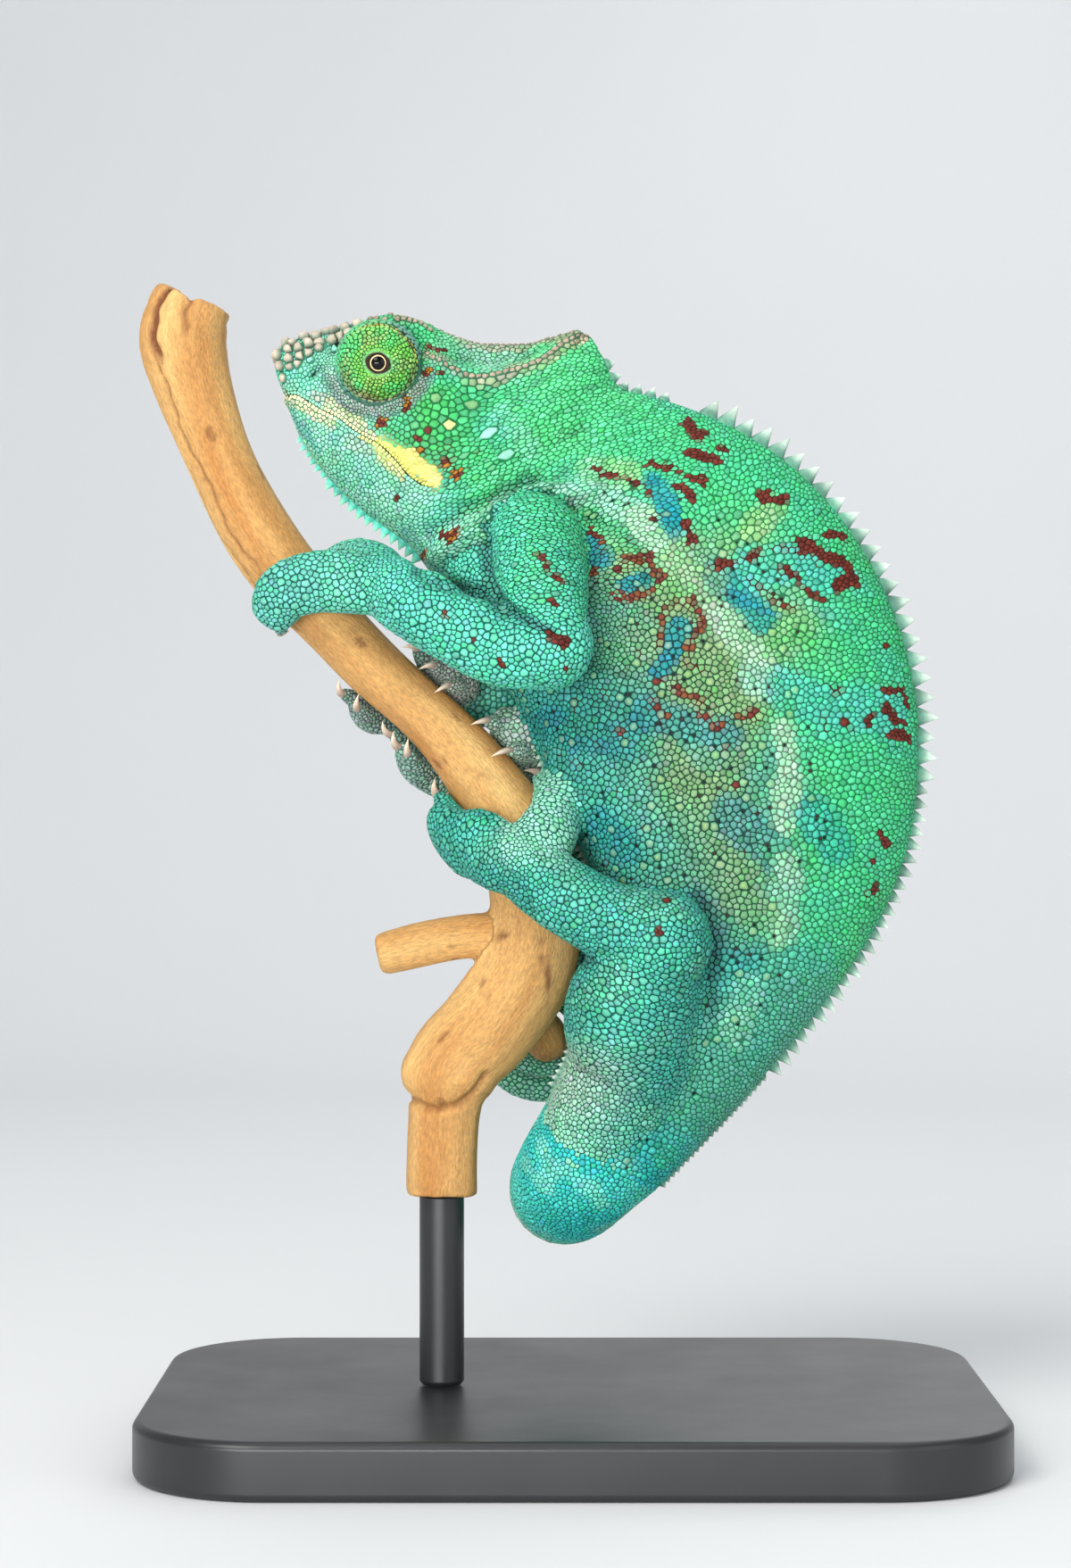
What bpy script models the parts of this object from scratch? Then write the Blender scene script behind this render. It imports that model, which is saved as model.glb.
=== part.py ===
"""Panther chameleon (an adult male, life size) gripping a cut perch on a plain display stand.

The frame is +Z up, with the origin at the middle of the stand's underside. The animal faces -X and its
left side faces -Y. Sizes and places are millimetres, turned into metres where a mesh is made.
"""

import bmesh
import bpy
import numpy as np
from mathutils import Matrix, Vector

# Driving dimensions (mm)
GAP = 0.3  # clearance kept between neighbouring solids
STEPS = 2  # rings to each section of the tables of body and tail
BACK_SIDES = 16  # corners of a section of the body
TAIL_SIDES = 8
LIMB_SIDES = 8
BUNDLE_SIDES = 8
TOE_SIDES = 6
CLAW_SIDES = 5
PERCH_SIDES = 12
ROUND_END = (35, 68)  # degrees from a tube's last full ring to the smaller ones that round its end
BASE_LENGTH = 150.0
BASE_WIDTH = 110.0
BASE_THICKNESS = 10.0
BASE_CORNER = 24.0
BASE_BEVEL = 1.5
ROD_RADIUS = 4.0
EYE_RADIUS = 2.0
EYE_DEPTH = 6.4  # from the lid's centre out to the eye's
EYELID_RADIUS = 7.9
EYE_CENTRE = np.array([-34.2, 7.4, 192.4])  # of the right eye; the left one mirrors it in Y
EYE_AIM = np.array([0.03, 1.0, -0.12])
TOE_RADIUS = 1.9
CLAW_LENGTH = 3.6
CLAW_RADIUS = 0.75

# Sections of head, neck and trunk, from the snout to the vent: back (x, z), underside (x, z),
# half width, how far the width leans to the underside, and how sharp the back and the underside are.
BODY = np.array(
    [
        (-53.2, 193.2, -52.8, 190.8, 1.0, 0.00, 0.9, 0.9),
        (-52.4, 195.6, -51.9, 188.6, 2.9, 0.00, 0.8, 0.9),
        (-51.0, 197.2, -50.8, 185.4, 4.6, 0.00, 0.7, 0.9),
        (-47.2, 198.2, -48.3, 179.2, 6.2, 0.05, 0.7, 1.0),
        (-42.4, 199.0, -44.8, 173.9, 7.4, 0.08, 0.7, 1.0),
        (-37.6, 200.6, -40.8, 169.6, 8.6, 0.08, 0.7, 1.0),
        (-32.8, 201.8, -37.1, 166.2, 9.8, 0.08, 0.75, 1.0),
        (-27.2, 201.2, -33.6, 163.7, 10.8, 0.10, 0.9, 1.0),
        (-21.6, 198.6, -30.4, 161.4, 11.7, 0.18, 1.1, 1.0),
        (-15.2, 197.2, -27.8, 158.9, 12.4, 0.26, 1.3, 1.0),
        (-6.4, 197.6, -25.6, 156.0, 12.8, 0.32, 1.5, 1.0),
        (2.4, 199.0, -23.2, 152.0, 12.4, 0.34, 1.6, 1.0),
        (6.0, 194.6, -21.6, 148.8, 12.0, 0.30, 1.5, 1.0),
        (8.6, 189.4, -20.0, 145.6, 11.8, 0.24, 1.3, 1.0),
        (14.4, 187.6, -17.6, 141.9, 12.0, 0.16, 1.2, 0.95),
        (22.4, 185.0, -14.7, 138.1, 12.6, 0.12, 1.2, 0.95),
        (31.2, 180.8, -11.5, 134.4, 13.6, 0.10, 1.2, 0.95),
        (40.0, 174.7, -9.0, 131.2, 14.8, 0.10, 1.2, 0.95),
        (48.0, 166.3, -7.0, 128.0, 15.9, 0.10, 1.2, 0.95),
        (54.7, 156.0, -5.8, 124.0, 16.7, 0.10, 1.2, 0.95),
        (59.5, 144.5, -4.5, 119.8, 17.2, 0.10, 1.2, 0.95),
        (62.1, 132.0, -2.6, 114.4, 17.3, 0.10, 1.2, 0.95),
        (62.4, 119.2, 0.0, 108.8, 17.0, 0.10, 1.2, 0.95),
        (60.5, 106.4, 2.6, 104.0, 16.4, 0.10, 1.2, 0.95),
        (56.0, 94.4, 4.5, 98.4, 15.6, 0.10, 1.2, 0.95),
        (49.6, 84.0, 5.1, 92.0, 14.6, 0.08, 1.2, 1.0),
        (41.6, 73.6, 4.5, 84.8, 13.6, 0.06, 1.15, 1.0),
        (32.8, 63.2, 2.2, 76.8, 12.6, 0.04, 1.1, 1.0),
        (24.0, 53.9, -0.6, 68.8, 11.8, 0.02, 1.05, 1.0),
        (15.2, 44.8, -4.5, 61.3, 11.2, 0.00, 1.0, 1.0),
    ]
)
NECK_STATION = 11  # the head ends between the casque's tip and the nape
TRUNK_STATION = 15
# The tail from the vent to its coil: x, y, z, half height, half width
TAIL = np.array(
    [
        (2.2, 0.3, 49.2, 11.8, 11.0),
        (-0.6, 6.2, 45.0, 10.8, 10.3),
        (-1.8, 16.8, 42.6, 9.4, 9.1),
        (-1.0, 28.0, 44.4, 8.0, 7.9),
        (1.4, 36.0, 49.5, 6.8, 6.8),
        (4.6, 39.6, 56.2, 5.7, 5.7),
        (7.6, 39.0, 63.4, 4.7, 4.7),
    ]
)
# The coil: turns made, depth y and radius of the tail; its pitch narrows until it lies on the twig.
COIL = np.array(
    [
        (0.00, 36.5, 3.8),
        (0.25, 34.0, 3.2),
        (0.50, 30.5, 2.8),
        (0.75, 27.0, 2.45),
        (1.00, 25.0, 2.15),
        (1.25, 24.3, 1.9),
        (1.50, 24.1, 1.75),
        (1.75, 24.2, 1.6),
        (2.00, 27.6, 1.4),
        (2.25, 28.3, 1.25),
        (2.50, 28.5, 1.05),
        (2.70, 28.6, 0.75),
    ]
)
COIL_CENTRE = (-4.4, 71.1)
COIL_START_RADIUS = 13.55
COIL_PITCH = 4.2
TWIG_RADIUS = 4.3
COIL_STEPS = 3  # to each span of the table above
TAIL_CUTS = (6, 16, 30)  # rings where one length of tail ends and the next starts

# Limbs: x, y, z and radius at places down each length. The lower ones go on to the wrist or the ankle.
LIMBS = {
    "upper_arm_left": [(-6.6, -12.9, 160.6, 8.6), (-5.4, -17.9, 152.4, 8.4), (-4.6, -20.2, 143.6, 7.2)],
    "forearm_left": [
        (-4.3, -20.2, 141.9, 8.2),
        (-12.6, -18.9, 141.2, 6.6),
        (-20.4, -17.3, 145.6, 7.0),
        (-27.2, -15.6, 149.4, 6.8),
    ],
    "thigh_left": [
        (11.0, -8.3, 70.4, 11.4),
        (10.4, -12.0, 77.6, 12.0),
        (12.6, -15.3, 84.6, 10.6),
        (14.4, -17.5, 88.8, 8.4),
    ],
    "shank_left": [(14.9, -18.4, 90.4, 9.6), (6.2, -17.5, 94.0, 7.2), (-3.2, -16.0, 99.4, 6.7)],
    "upper_arm_right": [(-6.6, 12.9, 160.6, 8.6), (-4.4, 17.5, 151.0, 8.2), (-3.0, 19.8, 142.0, 7.0)],
    "forearm_right": [(-2.6, 19.8, 140.0, 8.0), (-8.0, 18.4, 136.0, 6.6), (-14.0, 15.6, 134.4, 6.2)],
    "thigh_right": [(11.0, 8.3, 70.4, 11.4), (9.4, 13.8, 80.0, 10.6), (6.0, 18.8, 91.0, 7.9)],
    "shank_right": [(5.2, 19.5, 92.8, 9.0), (-0.6, 17.5, 104.4, 6.8), (-6.6, 15.3, 114.6, 6.2)],
}

# The perch's axis in the XZ plane and its radius, from the broken upper end to the sawn lower one
PERCH = np.array(
    [
        (-67.4, 204.9, 7.4),
        (-68.6, 202.0, 7.9),
        (-69.5, 196.8, 8.0),
        (-67.4, 188.0, 7.0),
        (-62.6, 175.2, 6.6),
        (-55.8, 162.4, 6.9),
        (-48.5, 152.8, 6.6),
        (-36.5, 140.0, 5.9),
        (-23.0, 127.2, 5.9),
        (-16.0, 118.9, 6.7),
        (-10.1, 109.3, 8.0),
        (-6.7, 99.2, 8.6),
        (-6.4, 90.4, 8.8),
        (-9.1, 82.1, 9.1),
        (-15.2, 73.6, 9.1),
        (-21.4, 67.2, 8.5),
        (-22.4, 60.0, 6.9),
        (-23.0, 52.0, 6.8),
        (-23.2, 47.0, 6.9),
        (-23.2, 44.0, 6.9),
    ]
)
PERCH_STUB = [(-8.0, 0.0, 91.0, 4.4), (-20.0, 0.0, 90.4, 4.3), (-34.5, 0.0, 87.2, 3.9)]
PERCH_KNOB = [(-20.0, -1.0, 67.0, 8.0), (-24.6, -1.0, 66.4, 6.2)]
PERCH_TWIG = [
    (-10.0, 3.0, 84.0, 3.2),
    (-6.2, 8.6, 77.0, 3.4),
    (-4.4, 13.5, 71.1, 4.2),
    (-4.4, 24.0, 71.1, TWIG_RADIUS),
    (-4.4, 39.0, 71.1, 4.0),
]

# Feet. Each bundle of toes is a list of places on the bark: distance down the perch, angle round it from the
# viewer's side (positive to the outer side), height over the bark, half width and half thickness. Then the
# number of toes, the space between them and their length.
FEET = {
    "hand_left": {
        "outer": (
            [
                (67.3, -41, 9.8, 6.0, 5.2),
                (62.5, -29, 6.2, 6.0, 4.8),
                (59.2, -13, 4.4, 5.7, 4.2),
                (57.2, 12, 3.9, 5.4, 4.0),
                (57.8, 38, 3.3, 4.6, 3.4),
            ],
            2,
            3.9,
            5.0,
        ),
        "inner": (
            [
                (67.5, -48, 9.0, 5.4, 5.2),
                (64.0, -78, 6.2, 5.4, 4.6),
                (61.0, -112, 4.2, 5.4, 4.0),
                (60.0, -148, 3.5, 5.4, 3.7),
                (60.4, -176, 3.2, 5.0, 3.3),
            ],
            3,
            3.7,
            4.6,
        ),
    },
    "hand_right": {
        "inner": (
            [(90.0, -158, 9.0, 5.4, 5.0), (88.5, -138, 5.4, 5.6, 4.6), (86.8, -112, 3.4, 6.0, 3.2)],
            3,
            4.3,
            4.2,
        ),
        "outer": (
            [(87.0, 188, 8.0, 5.2, 4.8), (84.0, 165, 4.8, 5.0, 4.2), (81.0, 128, 3.2, 4.6, 3.0)],
            2,
            4.0,
            5.0,
        ),
    },
    "foot_left": {
        "outer": (
            [
                (120.4, 11, 7.2, 6.0, 5.2),
                (116.8, 26, 5.2, 6.6, 4.8),
                (112.8, 47, 4.3, 6.4, 4.2),
                (109.0, 74, 3.4, 5.6, 3.5),
            ],
            3,
            3.6,
            5.2,
        ),
        "inner": (
            [
                (120.4, 0, 6.4, 5.2, 4.6),
                (119.0, -17, 5.6, 5.8, 4.8),
                (116.0, -38, 4.4, 5.4, 4.2),
                (114.0, -62, 3.4, 4.6, 3.5),
            ],
            2,
            4.0,
            4.8,
        ),
    },
    "foot_right": {
        "inner": (
            [(107.0, -172, 8.6, 5.6, 5.2), (104.0, -140, 5.4, 5.6, 4.8), (102.4, -104, 3.8, 5.8, 3.8)],
            2,
            5.6,
            5.4,
        ),
        "outer": (
            [(104.0, 176, 8.0, 5.4, 5.0), (97.8, 150, 4.8, 5.4, 4.2), (93.8, 122, 3.2, 5.0, 3.0)],
            3,
            3.3,
            4.6,
        ),
    },
}
WRIST_RADIUS = 5.9

# Rows of spines: the shares of the outline where a row starts and ends, how many, height, and base length
BACK_SPINES = [(0.06, 0.50, 24, 3.4, 2.6), (0.515, 0.83, 24, 2.4, 1.7), (0.845, 0.97, 10, 1.2, 1.5)]
CHIN_SPINES = (0.22, 0.86, 14, 1.7, 1.7)
SPINE_THICKNESS = 1.5
SPINE_LEAN = 0.18
# The cut between head and lower jaw, as (x, z): along the mouth, then round under the throat
MOUTH = [(-56.0, 188.9), (-47.4, 186.8), (-40.8, 183.2), (-35.2, 179.6), (-30.4, 175.0), (-22.9, 171.2)]
THROAT = [(-24.5, 148.0), (-70.0, 148.0), (-70.0, 188.9)]

# Colour, roughness and metallic. A part takes the one named like its name's first word, or else the skin.
MATERIALS = {
    "skin": ((0.10, 0.55, 0.42), 0.5, 0.0),
    "eye": ((0.02, 0.015, 0.01), 0.08, 0.0),
    "perch": ((0.62, 0.38, 0.17), 0.6, 0.0),
    "stand": ((0.03, 0.03, 0.032), 0.4, 0.0),
}


def smooth_curve(points, steps):
    """A Catmull-Rom curve through the rows of points, with this many steps to each span."""
    points = np.asarray(points, float)
    ends = np.vstack([2 * points[0] - points[1], points, 2 * points[-1] - points[-2]])
    t = np.linspace(0, 1, steps, endpoint=False)[:, None]
    spans = [
        0.5 * (2 * b + (c - a) * t + (2 * a - 5 * b + 4 * c - d) * t**2 + (3 * b - a - 3 * c + d) * t**3)
        for a, b, c, d in zip(ends, ends[1:], ends[2:], ends[3:])
    ]
    return np.vstack([*spans, points[-1:]])


def unit(v):
    v = np.asarray(v, float)
    return v / np.linalg.norm(v, axis=-1, keepdims=True)


def frames_along(path, up):
    """The tangent, up and side directions at each point of a path, turning as little as they can."""
    tangents = unit(np.gradient(path, axis=0))
    ups = np.empty_like(tangents)
    for i, tangent in enumerate(tangents):
        up = unit(up - tangent * np.dot(up, tangent))
        ups[i] = up
    return tangents, ups, np.cross(ups, tangents)


def body_rings(grow=0.0):
    """Rings of head, neck and trunk. A ring's height runs from the underside's outline to the back's, and
    its width is a sine of the angle round it, raised to the sharpness of the half that it is in."""
    rows = smooth_curve(BODY, STEPS)
    back = np.column_stack([rows[:, 0], 0 * rows[:, 0], rows[:, 1]])
    underside = np.column_stack([rows[:, 2], 0 * rows[:, 2], rows[:, 3]])
    centre = (back + underside) / 2
    up = unit(back - underside)
    half_height = np.linalg.norm(back - underside, axis=1) / 2 + grow
    angle = np.linspace(0, 2 * np.pi, BACK_SIDES, endpoint=False)
    cosine, sine = np.cos(angle), np.sin(angle)
    sharp = np.where(cosine[None] > 0, rows[:, 7:8], rows[:, 6:7])
    width = (rows[:, 4:5] + grow) * (1 + rows[:, 5:6] * cosine) * np.abs(sine) ** sharp
    side = np.sign(np.round(sine, 9)) * width
    rings = centre[:, None] - (half_height[:, None] * cosine)[..., None] * up[:, None]
    rings[..., 1] += side
    return rings


def tail_rings(grow=0.0):
    """Rings round the tail from the vent to its tip, oval at the root and round from there on."""
    turns, depth, radius = smooth_curve(COIL, COIL_STEPS).T
    round_twig = np.maximum(COIL_START_RADIUS - COIL_PITCH * turns, TWIG_RADIUS + GAP + radius)
    x = COIL_CENTRE[0] + round_twig * np.cos(2 * np.pi * turns)
    z = COIL_CENTRE[1] + round_twig * np.sin(2 * np.pi * turns)
    coil = np.column_stack([x, depth, z, radius, radius])

    back, underside = np.insert(BODY[-1, :2], 1, 0.0), np.insert(BODY[-1, 2:4], 1, 0.0)
    up, aside = unit(back - underside), np.array([0.0, 1.0, 0.0])
    start = (back + underside) / 2 + np.cross(aside, up) * GAP
    vent = [*start, np.linalg.norm(back - underside) / 2, BODY[-1, 4]]
    rows = np.vstack([smooth_curve(np.vstack([vent, TAIL, coil[:1]]), STEPS)[:-1], coil])
    _, ups, across = frames_along(rows[:, :3], up)
    ups[0], across[0] = up, aside
    angle = np.linspace(0, 2 * np.pi, TAIL_SIDES, endpoint=False)
    high, wide = (rows[:, 3:4] + grow) * -np.cos(angle), (rows[:, 4:5] + grow) * np.sin(angle)
    return rows[:, None, :3] + high[..., None] * ups[:, None] + wide[..., None] * across[:, None]


def tube_rings(path, radius, up, sides, round_start=True, round_end=True):
    """Rings of a round tube along a path, with rounded ends where wanted."""
    tangents, ups, across = frames_along(path, np.asarray(up, float))
    angle = np.linspace(0, 2 * np.pi, sides, endpoint=False)
    spokes = np.cos(angle)[:, None] * ups[:, None] + np.sin(angle)[:, None] * across[:, None]
    rings = list(path[:, None] + spokes * np.asarray(radius)[:, None, None])
    for turn in np.radians(ROUND_END):
        reach, share = np.sin(turn), np.cos(turn)
        if round_start:
            rings.insert(0, path[0] - tangents[0] * radius[0] * reach + spokes[0] * radius[0] * share)
        if round_end:
            rings.append(path[-1] + tangents[-1] * radius[-1] * reach + spokes[-1] * radius[-1] * share)
    return np.array(rings)


def limb_rings(points, grow=0.0):
    rows = np.array(points)
    return tube_rings(rows[:, :3], rows[:, 3] + grow, (0, 1, 0.01), LIMB_SIDES)


def perch_rows():
    """The perch's axis points, radii and distances from its upper end."""
    axis = np.insert(PERCH[:, :2], 1, 0.0, axis=1)
    distance = np.concatenate([[0], np.cumsum(np.linalg.norm(np.diff(axis, axis=0), axis=1))])
    return axis, PERCH[:, 2], distance


def perch_rings(grow=0.0):
    axis, radius, _ = perch_rows()
    return tube_rings(axis, radius + grow, (0, 1, 0), PERCH_SIDES, round_start=False, round_end=False)


def on_bark(places):
    """Points in space, and the directions away from the bark, for rows that start with (distance down the
    perch, degrees round it, height over the bark)."""
    axis, radius, distance = perch_rows()
    down, degrees, lift = (np.asarray(places, float)[:, k] for k in range(3))
    centre = np.column_stack([np.interp(down, distance, axis[:, k]) for k in range(3)])
    ahead = np.column_stack([np.interp(down + 2, distance, axis[:, k]) for k in range(3)])
    tangent = unit(ahead - centre)
    outer = np.column_stack([tangent[:, 2], 0 * down, -tangent[:, 0]])
    angle = np.radians(degrees)[:, None]
    away = np.cos(angle) * np.array([0.0, -1.0, 0.0]) + np.sin(angle) * outer
    return centre + away * (np.interp(down, distance, radius) + lift)[:, None], away


def bundle_rings(rows, grow=0.0):
    """A bundle of toes grown together: an oval tube that follows the bark, flat side to the wood."""
    rows = np.asarray(rows, float)
    path, away = on_bark(rows)
    tangents = unit(np.gradient(path, axis=0))
    ups = unit(away - tangents * np.sum(away * tangents, axis=1, keepdims=True))
    across = np.cross(tangents, ups)
    angle = np.linspace(0, 2 * np.pi, BUNDLE_SIDES, endpoint=False)
    high, wide = (rows[:, 4:5] + grow) * np.cos(angle), (rows[:, 3:4] + grow) * np.sin(angle)
    rings = path[:, None] + high[..., None] * ups[:, None] + wide[..., None] * across[:, None]

    def cap(end, along, share):
        return path[end] + tangents[end] * along * rows[end, 4] + (rings[end] - path[end]) * share

    return np.array([cap(0, -0.7, 0.45), *rings, cap(-1, 0.55, 0.82), cap(-1, 0.9, 0.4)])


def toe_places(rows, count, space, length):
    """For each toe of a bundle, rows of (distance down the perch, degrees, height): it leaves the bundle's
    end beside the others and runs on over the bark to its tip."""
    axis, radius, distance = perch_rows()
    (s0, a0), (s1, a1) = rows[-2][:2], rows[-1][:2]
    girth = np.interp(s1, distance, radius) + TOE_RADIUS
    heading = unit([s1 - s0, np.radians(a1 - a0) * girth])
    aside = np.array([-heading[1], heading[0]])
    toes = []
    for k in range(count):
        reach = np.array([-3.0, length * 0.4, length])
        spread = (k - (count - 1) / 2) * space * np.array([0.8, 1.0, 1.1])
        flat = np.outer(reach, heading) + np.outer(spread, aside)
        lift = TOE_RADIUS * np.array([1.1, 1.0, 0.8])
        toes.append(np.column_stack([s1 + flat[:, 0], a1 + np.degrees(flat[:, 1] / girth), lift]))
    return toes


def toe_rings(places):
    path, away = on_bark(places)
    radius = TOE_RADIUS * np.array([1.0, 1.0, 0.8])
    return tube_rings(path, radius, away[0], TOE_SIDES, round_start=False)


def claw_rings(places):
    """A horn that goes on from inside the toe's tip and curves down to a point just over the bark."""
    down, degrees, lift = places[-1]
    girth = 4 * TOE_RADIUS
    heading = unit((places[-1] - places[-2])[:2] * (1, np.radians(girth)))
    reach = np.array([0.0, 0.55, 1.0]) * (CLAW_LENGTH + TOE_RADIUS)
    turned = degrees + np.degrees(reach * heading[1] / girth)
    path, away = on_bark(np.column_stack([down + reach * heading[0], turned, [lift + 0.3, lift + 0.1, 0.55]]))
    radius = CLAW_RADIUS * np.array([1.0, 0.85, 0.0])
    return tube_rings(path, radius, away[0], CLAW_SIDES, round_start=False, round_end=False)


def spine_rings(outline, away, first, last, count, height, base):
    """Pyramids in a row along an outline, from share `first` to share `last` of its length. Each starts
    under the skin, and its tip leans backwards."""
    length = np.concatenate([[0], np.cumsum(np.linalg.norm(np.diff(outline, axis=0), axis=1))])

    def at(values, place):
        return np.array([np.interp(place, length, values[:, k]) for k in range(3)])

    spines = []
    for place in np.linspace(first, last, count) * length[-1]:
        foot, out = at(outline, place), unit(at(away, place))
        along = unit(at(outline, place + 1) - foot)
        aside = np.array([0, SPINE_THICKNESS, 0])
        corners = np.outer([0.5, 0, -0.5, 0], along * base) + np.outer([0, 0.5, 0, -0.5], aside)
        tip = foot + out * height + along * base * SPINE_LEAN
        spines.append(np.array([foot - out * height * 0.3 + corners, np.tile(tip, (4, 1))]))
    return spines


def outline_of(column):
    """Points and outward directions along the back (column 0) or the underside (column 2) of the body."""
    rows = smooth_curve(BODY, 4)
    outline = np.column_stack([rows[:, column], 0 * rows[:, 0], rows[:, column + 1]])
    across = outline - np.column_stack([rows[:, 2 - column], 0 * rows[:, 0], rows[:, 3 - column]])
    tangent = unit(np.gradient(outline, axis=0))
    away = np.column_stack([-tangent[:, 2], 0 * rows[:, 0], tangent[:, 0]])
    return outline, away * np.sign(np.sum(away * across, axis=1))[:, None]


def loft(shape, rings):
    """Adds a closed surface through rings of points: each ring is joined to the next, the ends are filled."""
    corners = [[shape.verts.new(point) for point in ring] for ring in rings * 0.001]
    sides = len(corners[0])
    for near, far in zip(corners, corners[1:]):
        for j in range(sides):
            k = (j + 1) % sides
            shape.faces.new((near[j], near[k], far[k], far[j]))
    shape.faces.new(corners[0][::-1])
    shape.faces.new(corners[-1])


def object_from(shape, name, helper=False):
    """An object from a bmesh, its faces turned outwards and its round stretches shaded smooth."""
    bmesh.ops.remove_doubles(shape, verts=shape.verts, dist=1e-6)
    bmesh.ops.dissolve_degenerate(shape, edges=shape.edges, dist=1e-7)
    bmesh.ops.recalc_face_normals(shape, faces=shape.faces)
    mesh = bpy.data.meshes.new(name)
    shape.to_mesh(mesh)
    shape.free()
    mesh.shade_smooth()
    mesh.set_sharp_from_angle(angle=np.radians(45))
    made = bpy.data.objects.new(name, mesh)
    bpy.context.scene.collection.objects.link(made)
    made.hide_render = helper
    if helper:
        made.display_type = "WIRE"
    return made


def lofted(name, *surfaces, helper=False):
    """One object from one or more lofted surfaces."""
    shape = bmesh.new()
    for rings in surfaces:
        loft(shape, np.asarray(rings, float))
    return object_from(shape, name, helper)


def ball(name, centre, aim, radius, segments, helper=False):
    """A ball whose poles lie along the direction it looks in."""
    shape = bmesh.new()
    bmesh.ops.create_uvsphere(shape, u_segments=segments, v_segments=segments // 2, radius=radius * 0.001)
    turn = Vector(aim).to_track_quat("Z", "Y").to_matrix().to_4x4()
    bmesh.ops.transform(shape, matrix=Matrix.Translation(Vector(centre) * 0.001) @ turn, verts=shape.verts)
    return object_from(shape, name, helper)


def combine(target, operation, *others):
    """Booleans left on the object, with the other objects kept as they are."""
    for other in others:
        modifier = target.modifiers.new(f"{operation.lower()}_{other.name}", "BOOLEAN")
        modifier.operation = operation
        modifier.object = other


def pulled_in(rings, first, last):
    """Rings first to last, each end pulled in by the gap where the body goes on beyond it."""
    part = rings[first : last + 1].copy()
    for end, beyond, inner in ((0, first > 0, 1), (-1, last < len(rings) - 1, -2)):
        if beyond:
            step = part[inner] - part[end]
            part[end] += step * GAP / 2 / np.linalg.norm(step, axis=1).min()
    return part


def build_head(rings):
    """The head, with the lower jaw cut from it along the mouth, and the spines under the chin."""
    head = lofted("head", pulled_in(rings, 0, NECK_STATION * STEPS))
    jaw = lofted("lower_jaw", pulled_in(rings, 0, NECK_STATION * STEPS))
    outlines = {"jaw_shape": np.array(MOUTH + THROAT), "jaw_room": np.array(MOUTH + THROAT)}
    outlines["jaw_room"][: len(MOUTH)] += (0, GAP)
    outlines["jaw_room"][len(MOUTH) - 1 : len(MOUTH) + 1] += (GAP, 0)
    helpers = []
    for name, outline in outlines.items():
        flat = np.insert(outline, 1, 0.0, axis=1)
        helpers.append(lofted(name, [flat - (0, 30, 0), flat + (0, 30, 0)], helper=True))
    combine(jaw, "INTERSECT", helpers[0])
    combine(head, "DIFFERENCE", helpers[1])
    outline, away = outline_of(2)
    under_head = slice(0, NECK_STATION * 4 + 1)
    spines = spine_rings(outline[under_head], away[under_head], *CHIN_SPINES)
    combine(jaw, "UNION", lofted("chin_spines", *spines, helper=True))


def build_trunk(rings):
    """Neck and trunk, with the spines of the back."""
    lofted("neck", pulled_in(rings, NECK_STATION * STEPS, TRUNK_STATION * STEPS))
    trunk = lofted("trunk", pulled_in(rings, TRUNK_STATION * STEPS, len(rings) - 1))
    outline, away = outline_of(0)
    behind_neck = slice((TRUNK_STATION - 1) * 4, None)
    spines = [s for row in BACK_SPINES for s in spine_rings(outline[behind_neck], away[behind_neck], *row)]
    combine(trunk, "UNION", lofted("back_spines", *spines, helper=True))


def build_tail():
    """Four lengths of tail: the root, the bend behind the perch, and two that coil round its twig."""
    rings = tail_rings()
    bounds = [0, *TAIL_CUTS, len(rings) - 1]
    for k, (first, last) in enumerate(zip(bounds, bounds[1:])):
        lofted(f"tail_{k + 1}", pulled_in(rings, first, last))


def build_limb(side, upper_name, lower_name, foot_name, rooms):
    """Two lengths of limb and the two bundles of toes, each cut clear of what it meets."""
    bundles = FEET[f"{foot_name}_{side}"]
    wrist = on_bark([rows[0][:3] for rows, *_ in bundles.values()])[0].mean(axis=0)
    upper = LIMBS[f"{upper_name}_{side}"]
    lower = [*LIMBS[f"{lower_name}_{side}"], (*wrist, WRIST_RADIUS)]
    lower_room = lofted(f"{lower_name}_{side}_room", limb_rings(lower, GAP), helper=True)
    upper_part = lofted(f"{upper_name}_{side}", limb_rings(upper))
    combine(upper_part, "DIFFERENCE", rooms["body"], rooms["tail"], lower_room)
    lower_part = lofted(f"{lower_name}_{side}", limb_rings(lower))
    combine(lower_part, "DIFFERENCE", rooms["body"], rooms["bark"])

    neighbours = [lower_room, rooms["bark"], rooms["body"]]
    for name, (rows, *toes) in bundles.items():
        bundle = lofted(f"{foot_name}_{side}_{name}", bundle_rings(rows))
        for k, places in enumerate(toe_places(rows, *toes)):
            toe = lofted(f"{bundle.name}_toe_{k}", toe_rings(places), helper=True)
            claw = lofted(f"{bundle.name}_claw_{k}", claw_rings(places), helper=True)
            combine(bundle, "UNION", toe, claw)
        combine(bundle, "DIFFERENCE", *neighbours)
        neighbours.append(lofted(f"{bundle.name}_room", bundle_rings(rows, GAP), helper=True))


def build_limbs(rings):
    rooms = {
        "body": lofted("body_room", rings, helper=True),
        "tail": lofted("tail_room", tail_rings(GAP)[: TAIL_CUTS[0]], helper=True),
        "bark": lofted("bark_room", perch_rings(GAP), helper=True),
    }
    for side in ("left", "right"):
        build_limb(side, "upper_arm", "forearm", "hand", rooms)
        build_limb(side, "thigh", "shank", "foot", rooms)
    return rooms["body"]


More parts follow.
